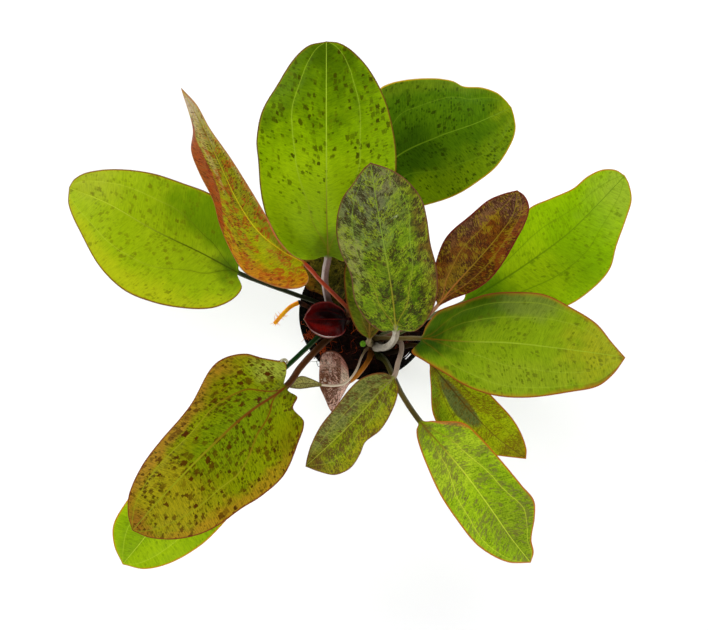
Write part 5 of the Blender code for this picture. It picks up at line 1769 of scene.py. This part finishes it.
@dataclass
class Medium:
    """The dark fibrous plug that fills the pot."""

    LUMPS = ((7, 0.9, 0.3), (13, 1.7, 1.9), (23, 2.9, 4.1), (37, 4.3, 2.2))

    pot: NetPot
    top: float = 46.0
    gap: float = 0.3
    wall_gap: float = 0.1
    edge_gap: float = 0.35
    edge_drop: float = 1.0
    top_drop: float = 0.5
    middle: float = 0.985
    sides: int = 320
    wall_rings: int = 60
    top_rings: int = 46
    wall_relief: float = 0.35
    top_relief: float = 0.6
    top_stretch: float = 1.7
    bulge: float = 1.0
    least_bulge: float = 0.3
    bulge_reach: tuple[float, float] = (0.5, 0.8)
    bulge_rise: float = 2.0
    bulge_fade: float = 5.0
    fibres: int = 150
    fibre_bends: int = 4
    fibre_spread: float = 0.88
    fibre_step: tuple[float, float] = (1.5, 3.0)
    fibre_lift: tuple[float, float] = (-0.1, 0.9)
    fibre_radius: tuple[float, float] = (0.07, 0.2)
    fibre_margin: float = 2.2

    def swelling(self, angles: np.ndarray, radius: float) -> np.ndarray:
        """Return how far the plug bulges into the slots, least into the first one."""
        pitch = 2 * math.pi / self.pot.slots
        turn = (angles - self.pot.first_slot) / pitch
        nearest = np.round(turn)
        aside = np.abs(turn - nearest) * pitch * radius
        least = self.bulge * self.least_bulge
        filled = np.where(nearest % self.pot.slots == 0, least, self.bulge)
        over, soft = self.bulge_reach
        return filled * smooth((self.pot.slot_width / 2 + over - aside) / soft)

    def build(self) -> None:
        """Make the plug with its rough surface, and the fibres on it."""
        angles = ring_angles(self.sides)
        pot = self.pot
        bottom = pot.floor + self.gap
        rings = []
        for index in range(self.wall_rings):
            rise = index / (self.wall_rings - 1)
            height = bottom + (self.top - self.edge_drop - bottom) * rise
            radius = pot.wall_radius(height) - pot.wall - self.wall_gap
            in_slot = float(smooth(np.array((height - pot.slot_bottom) / self.bulge_rise)))
            uneven = self.wall_relief * (self.lumps(angles, height) - 1)
            uneven = uneven + self.swelling(angles, radius) * in_slot
            rings.append(level_ring(radius + uneven, angles, height))
        edge = pot.wall_radius(self.top) - pot.wall - self.edge_gap
        for index in range(self.top_rings):
            share = index / (self.top_rings - 1)
            radius = edge * (1 - share * self.middle)
            lumps = self.lumps(angles, radius * self.top_stretch)
            height = self.top - self.top_drop + self.top_relief * lumps
            outward = self.swelling(angles, radius) * max(0.0, 1 - share * self.bulge_fade)
            rings.append(level_ring(radius + outward, angles, height))
        plug = loft("medium_plug", rings)
        settle(plug, WET_FIBRE.paint(), "growing_medium", "growing_medium")
        self.strew()

    def lumps(self, angles: np.ndarray, place: float) -> np.ndarray:
        """Return an uneven surface's height between -1 and 1."""
        value = np.zeros_like(angles)
        for turns, rate, turn in self.LUMPS:
            along = np.cos(rate * 1.3 * place - turns + turn)
            value += np.sin(turns * angles + rate * place + turn) * along
        return value / len(self.LUMPS)

    def strew(self) -> None:
        """Lay the fibres on the plug's top."""
        draw = np.random.default_rng(SEED)
        bundle = Strands("medium_fibres")
        limit = self.pot.top_radius - self.fibre_margin
        for _ in range(self.fibres):
            angle = draw.uniform(0, 2 * math.pi)
            radius = self.pot.top_radius * self.fibre_spread * math.sqrt(draw.uniform(0.02, 1))
            heading = draw.uniform(0, 2 * math.pi)
            place = np.array([radius * math.cos(angle), radius * math.sin(angle), self.top + 0.2])
            route = [place]
            for _ in range(self.fibre_bends):
                heading += draw.normal(0, 0.5)
                step = np.array([math.cos(heading), math.sin(heading), 0.0])
                place = place + step * draw.uniform(*self.fibre_step)
                reach = math.hypot(place[0], place[1])
                if reach > limit:
                    place[:2] *= limit / reach
                place[2] = self.top + draw.uniform(*self.fibre_lift)
                route.append(place)
            bundle.add(route, draw.uniform(*self.fibre_radius))
        bundle.build(DRY_FIBRE, "growing_medium")


@dataclass(frozen=True)
class Clump:
    """A small tangle of loose fibres, at a place in millimetres."""

    x: float
    y: float
    height: float
    spread: float
    length: float
    count: int


@dataclass(frozen=True)
class Tangle:
    """Loose fibres in clumps, as one mesh."""

    name: str
    radius: float
    finish: PlainFinish
    seed: int
    clumps: tuple[Clump, ...]
    bends: int = 4
    flatness: tuple[float, float, float] = (1.0, 1.0, 0.3)
    turn: float = 0.8
    rise: float = 0.2
    radius_spread: tuple[float, float] = (0.6, 1.2)

    def build(self) -> bpy.types.Object:
        """Bend the fibres of every clump, and seat them."""
        draw = np.random.default_rng(self.seed)
        bundle = Strands(self.name)
        for clump in self.clumps:
            middle = np.array([clump.x, clump.y, clump.height])
            for _ in range(clump.count):
                heading = draw.uniform(0, 2 * math.pi)
                place = middle + draw.normal(0, clump.spread, 3) * self.flatness
                route = [place]
                for _ in range(self.bends):
                    heading += draw.normal(0, self.turn)
                    rise = draw.normal(0, self.rise)
                    step = np.array([math.cos(heading), math.sin(heading), rise])
                    place = place + step * clump.length / self.bends
                    route.append(place)
                bundle.add(route, self.radius * draw.uniform(*self.radius_spread))
        return bundle.build(self.finish, "growing_medium")


TANGLES = (
    Tangle("red_fibres", 0.1, RED_FIBRE, SEED + 2, (
        Clump(-21.6, -8.0, 50.6, 0.9, 2.6, 26),
        Clump(-16.4, -13.4, 51.6, 0.9, 2.4, 30),
        Clump(-21.2, -3.6, 50.4, 0.8, 2.4, 14),
        Clump(-8.0, -9.0, 47.2, 4.5, 4.0, 14),
    )),
    Tangle("black_hairs", 0.12, BLACK_HAIR, SEED + 3, (
        Clump(-18.2, -16.6, 50.6, 0.8, 4.5, 16),
        Clump(-14.5, -15.5, 50.0, 1.2, 5.0, 12),
        Clump(-3.0, -3.0, 47.6, 5.5, 6.0, 60),
    )),
)


@dataclass
class CutStalk:
    """The green stub of a leaf stalk that was cut off."""

    x: float = -0.75
    y: float = -11.5
    bottom: float = 46.3
    length: float = 12.0
    radius: float = 1.1
    rings: int = 24
    sides: int = 32
    foot_share: float = 1.1
    taper: float = 0.2
    hollow: tuple[tuple[float, float], ...] = ((0.8, 0.0), (0.4, 0.2))

    def build(self) -> bpy.types.Object:
        """Make the stub with a slightly hollow cut, and seat it."""
        levels = []
        for index in range(self.rings):
            rise = index / (self.rings - 1)
            levels.append((self.foot_share - self.taper * rise, self.bottom + self.length * rise))
        top = self.bottom + self.length
        levels += [(share, top - depth) for share, depth in self.hollow]
        angles = ring_angles(self.sides)
        thing = loft("green_stub", [
            level_ring(self.radius * share, angles, height, self.x, self.y)
            for share, height in levels
        ])
        settle(thing, GREEN_STALK.paint(), "cut_stalk", "cut_stalk")
        return thing


@dataclass
class StrayRoot:
    """The root that comes over the rim, dark then orange, with its fine hairs."""

    radius: float = 0.84
    path: Points = (
        (-18.0, 0.5, 47.2), (-21.5, 2.5, 50.4), (-25.2, 4.5, 51.4),
        (-28.7, 2.7, 51.0), (-32.0, -0.5, 49.5), (-34.7, -3.5, 46.5),
    )
    dark_points: int = 3
    sleeve_end: Sequence[float] = (-25.5, 4.42, 51.39)
    sleeve_share: float = 1.12
    sleeve_tip: float = 0.93
    sleeve_rings: int = 40
    orange_tip: float = 0.95
    orange_rings: int = 60
    sides: int = 16
    hairs: int = 26
    hair_radius: float = 0.13
    hair_tip: float = 0.3
    hair_rings: int = 6
    hair_length: tuple[float, float] = (0.8, 3.0)
    hair_droop: float = 0.3

    def build(self) -> bpy.types.Object:
        """Make the orange end with its hairs, and the dark part, and seat both."""
        draw = np.random.default_rng(SEED + 1)
        orange = Strands("orange_root", self.sides)
        orange.add(
            self.path[self.dark_points - 1:], self.radius, self.orange_tip, self.orange_rings
        )
        dark = Strands("root_base", self.sides)
        route = (*self.path[:self.dark_points], self.sleeve_end)
        dark.add(route, self.radius * self.sleeve_share, self.sleeve_tip, self.sleeve_rings)
        dark.build(ROOT_BARK, "root", "root_orange")
        curve = SmoothCurve(self.path)
        for _ in range(self.hairs):
            start = curve.at(np.array([draw.uniform(0.6, 1.0) ** 0.5]))[0]
            out = draw.normal(0, 1, 3)
            out[2] = -abs(out[2]) * self.hair_droop
            out /= np.linalg.norm(out)
            length = draw.uniform(*self.hair_length)
            middle = start + out * length * 0.5 + draw.normal(0, 0.2, 3) * 0.3
            route = (start, middle, start + out * length)
            orange.add(route, self.hair_radius, self.hair_tip, self.hair_rings)
        return orange.build(ORANGE_SKIN, "root", "root_orange")


@dataclass
class CurledLobe:
    """The small pale lobe that curls up beside a leaf's base."""

    route: Points = (
        (-33.3, -20.4, 89.0), (-31.7, -18.5, 89.4), (-30.7, -17.1, 90.6), (-29.5, -16.7, 91.0),
        (-28.7, -17.4, 90.4), (-29.0, -18.1, 89.6),
    )
    radius: float = 0.75
    tip: float = 0.55
    rings: int = 40
    sides: int = 14

    def build(self) -> bpy.types.Object:
        """Make the curl and seat it with the leaf."""
        bundle = Strands("curled_lobe", self.sides)
        bundle.add(self.route, self.radius, self.tip, self.rings)
        return bundle.build(CURLED_LOBE_SKIN, "leaf_lower_left", "leaf_lower_left")


@dataclass(frozen=True)
class SoftLight:
    """A square light that shines on the plant: its place, its side and its watts."""

    name: str
    place: tuple[float, float, float]
    size: float
    power: float


@dataclass
class Studio:
    """The pale floor, the soft lights and the camera over the pot."""

    floor_size: float = 1400.0
    lights: tuple[SoftLight, ...] = (
        SoftLight("key", (-1050, 600, 760), 800.0, 16.0),
        SoftLight("fill", (1100, -300, 720), 900.0, 12.5),
        SoftLight("back", (200, 1200, 700), 900.0, 9.0),
        SoftLight("front", (-150, -1200, 700), 900.0, 10.0),
    )
    aim: tuple[float, float, float] = (0.0, 0.0, 60.0)
    horizon: tuple[float, float] = (0.6, 0.15)
    overhead: float = 0.04
    camera_place: tuple[float, float, float] = (-4.2, -0.4, 900.0)
    lens: float = 112.27
    sensor: float = 36.0
    clip: tuple[float, float] = (0.01, 50.0)

    def build(self) -> None:
        """Make everything that isn't the plant."""
        half = self.floor_size / 2
        corners = [(-half, -half, 0), (half, -half, 0), (half, half, 0), (-half, half, 0)]
        floor = mesh_object("floor", np.array(corners, float), [(0, 1, 2, 3)], False)
        floor.data.materials.append(Finish("floor_white", Gloss(0.9, 0.1)).close(FLOOR_WHITE))
        for light in self.lights:
            self.hang(light)
        self.air()
        self.camera()
        bpy.context.scene.view_settings.view_transform = "Standard"

    def air(self) -> None:
        """Fill the world with light that is bright near the horizon and dim overhead."""
        world = bpy.data.worlds.new("studio_air")
        bpy.context.scene.world = world
        world.use_nodes = True
        graph = Graph(world.node_tree)
        place = graph.add("ShaderNodeTexCoord", {}, {}).outputs["Generated"]
        glow = graph.parts(place)[2].step(*self.horizon) + self.overhead
        inputs = {"Color": (1.0, 1.0, 1.0), "Strength": glow}
        air = graph.add("ShaderNodeBackground", {}, inputs)
        graph.add("ShaderNodeOutputWorld", {}, {"Surface": air.outputs[0]})

    def hang(self, light: SoftLight) -> None:
        """Add one soft light."""
        data = bpy.data.lights.new(light.name, "AREA")
        data.shape = "SQUARE"
        data.size = light.size * MM
        data.energy = light.power
        thing = add_object(light.name, data)
        thing.location = Vector(light.place) * MM
        aim = Vector(self.aim) * MM - thing.location
        thing.rotation_euler = aim.to_track_quat("-Z", "Y").to_euler()

    def camera(self) -> None:
        """Add the camera that looks straight down."""
        data = bpy.data.cameras.new("camera")
        data.lens = self.lens
        data.sensor_width = self.sensor
        data.sensor_fit = "HORIZONTAL"
        data.clip_start, data.clip_end = self.clip
        thing = add_object("camera", data)
        thing.location = Vector(self.camera_place) * MM
        bpy.context.scene.camera = thing


def main() -> None:
    """Build the studio, the pot, what fills it, and every leaf."""
    logging.basicConfig(level=logging.INFO, format="%(name)s: %(message)s")
    Studio().build()
    pot = NetPot()
    pot.build()
    Medium(pot).build()
    bark = ROOTSTOCK_BARK.paint()
    crowns = (Crown("crown_left", -8.5, -1.5), Crown("crown_right", 4.25, -11.5))
    for crown in crowns:
        crown.build(bark)
    for piece in (CutStalk(), StrayRoot(), CurledLobe(), *TANGLES):
        piece.build()
    for seed, shape in enumerate(LEAF_SHAPES, start=1):
        start = Vector(shape.stalk[0])
        crown = min(crowns, key=lambda each: (Vector(each.heart) - start).length)
        Leaf(shape, LEAF_FINISHES[shape.name], crown.heart, seed).build()


if __name__ == "__main__":
    main()
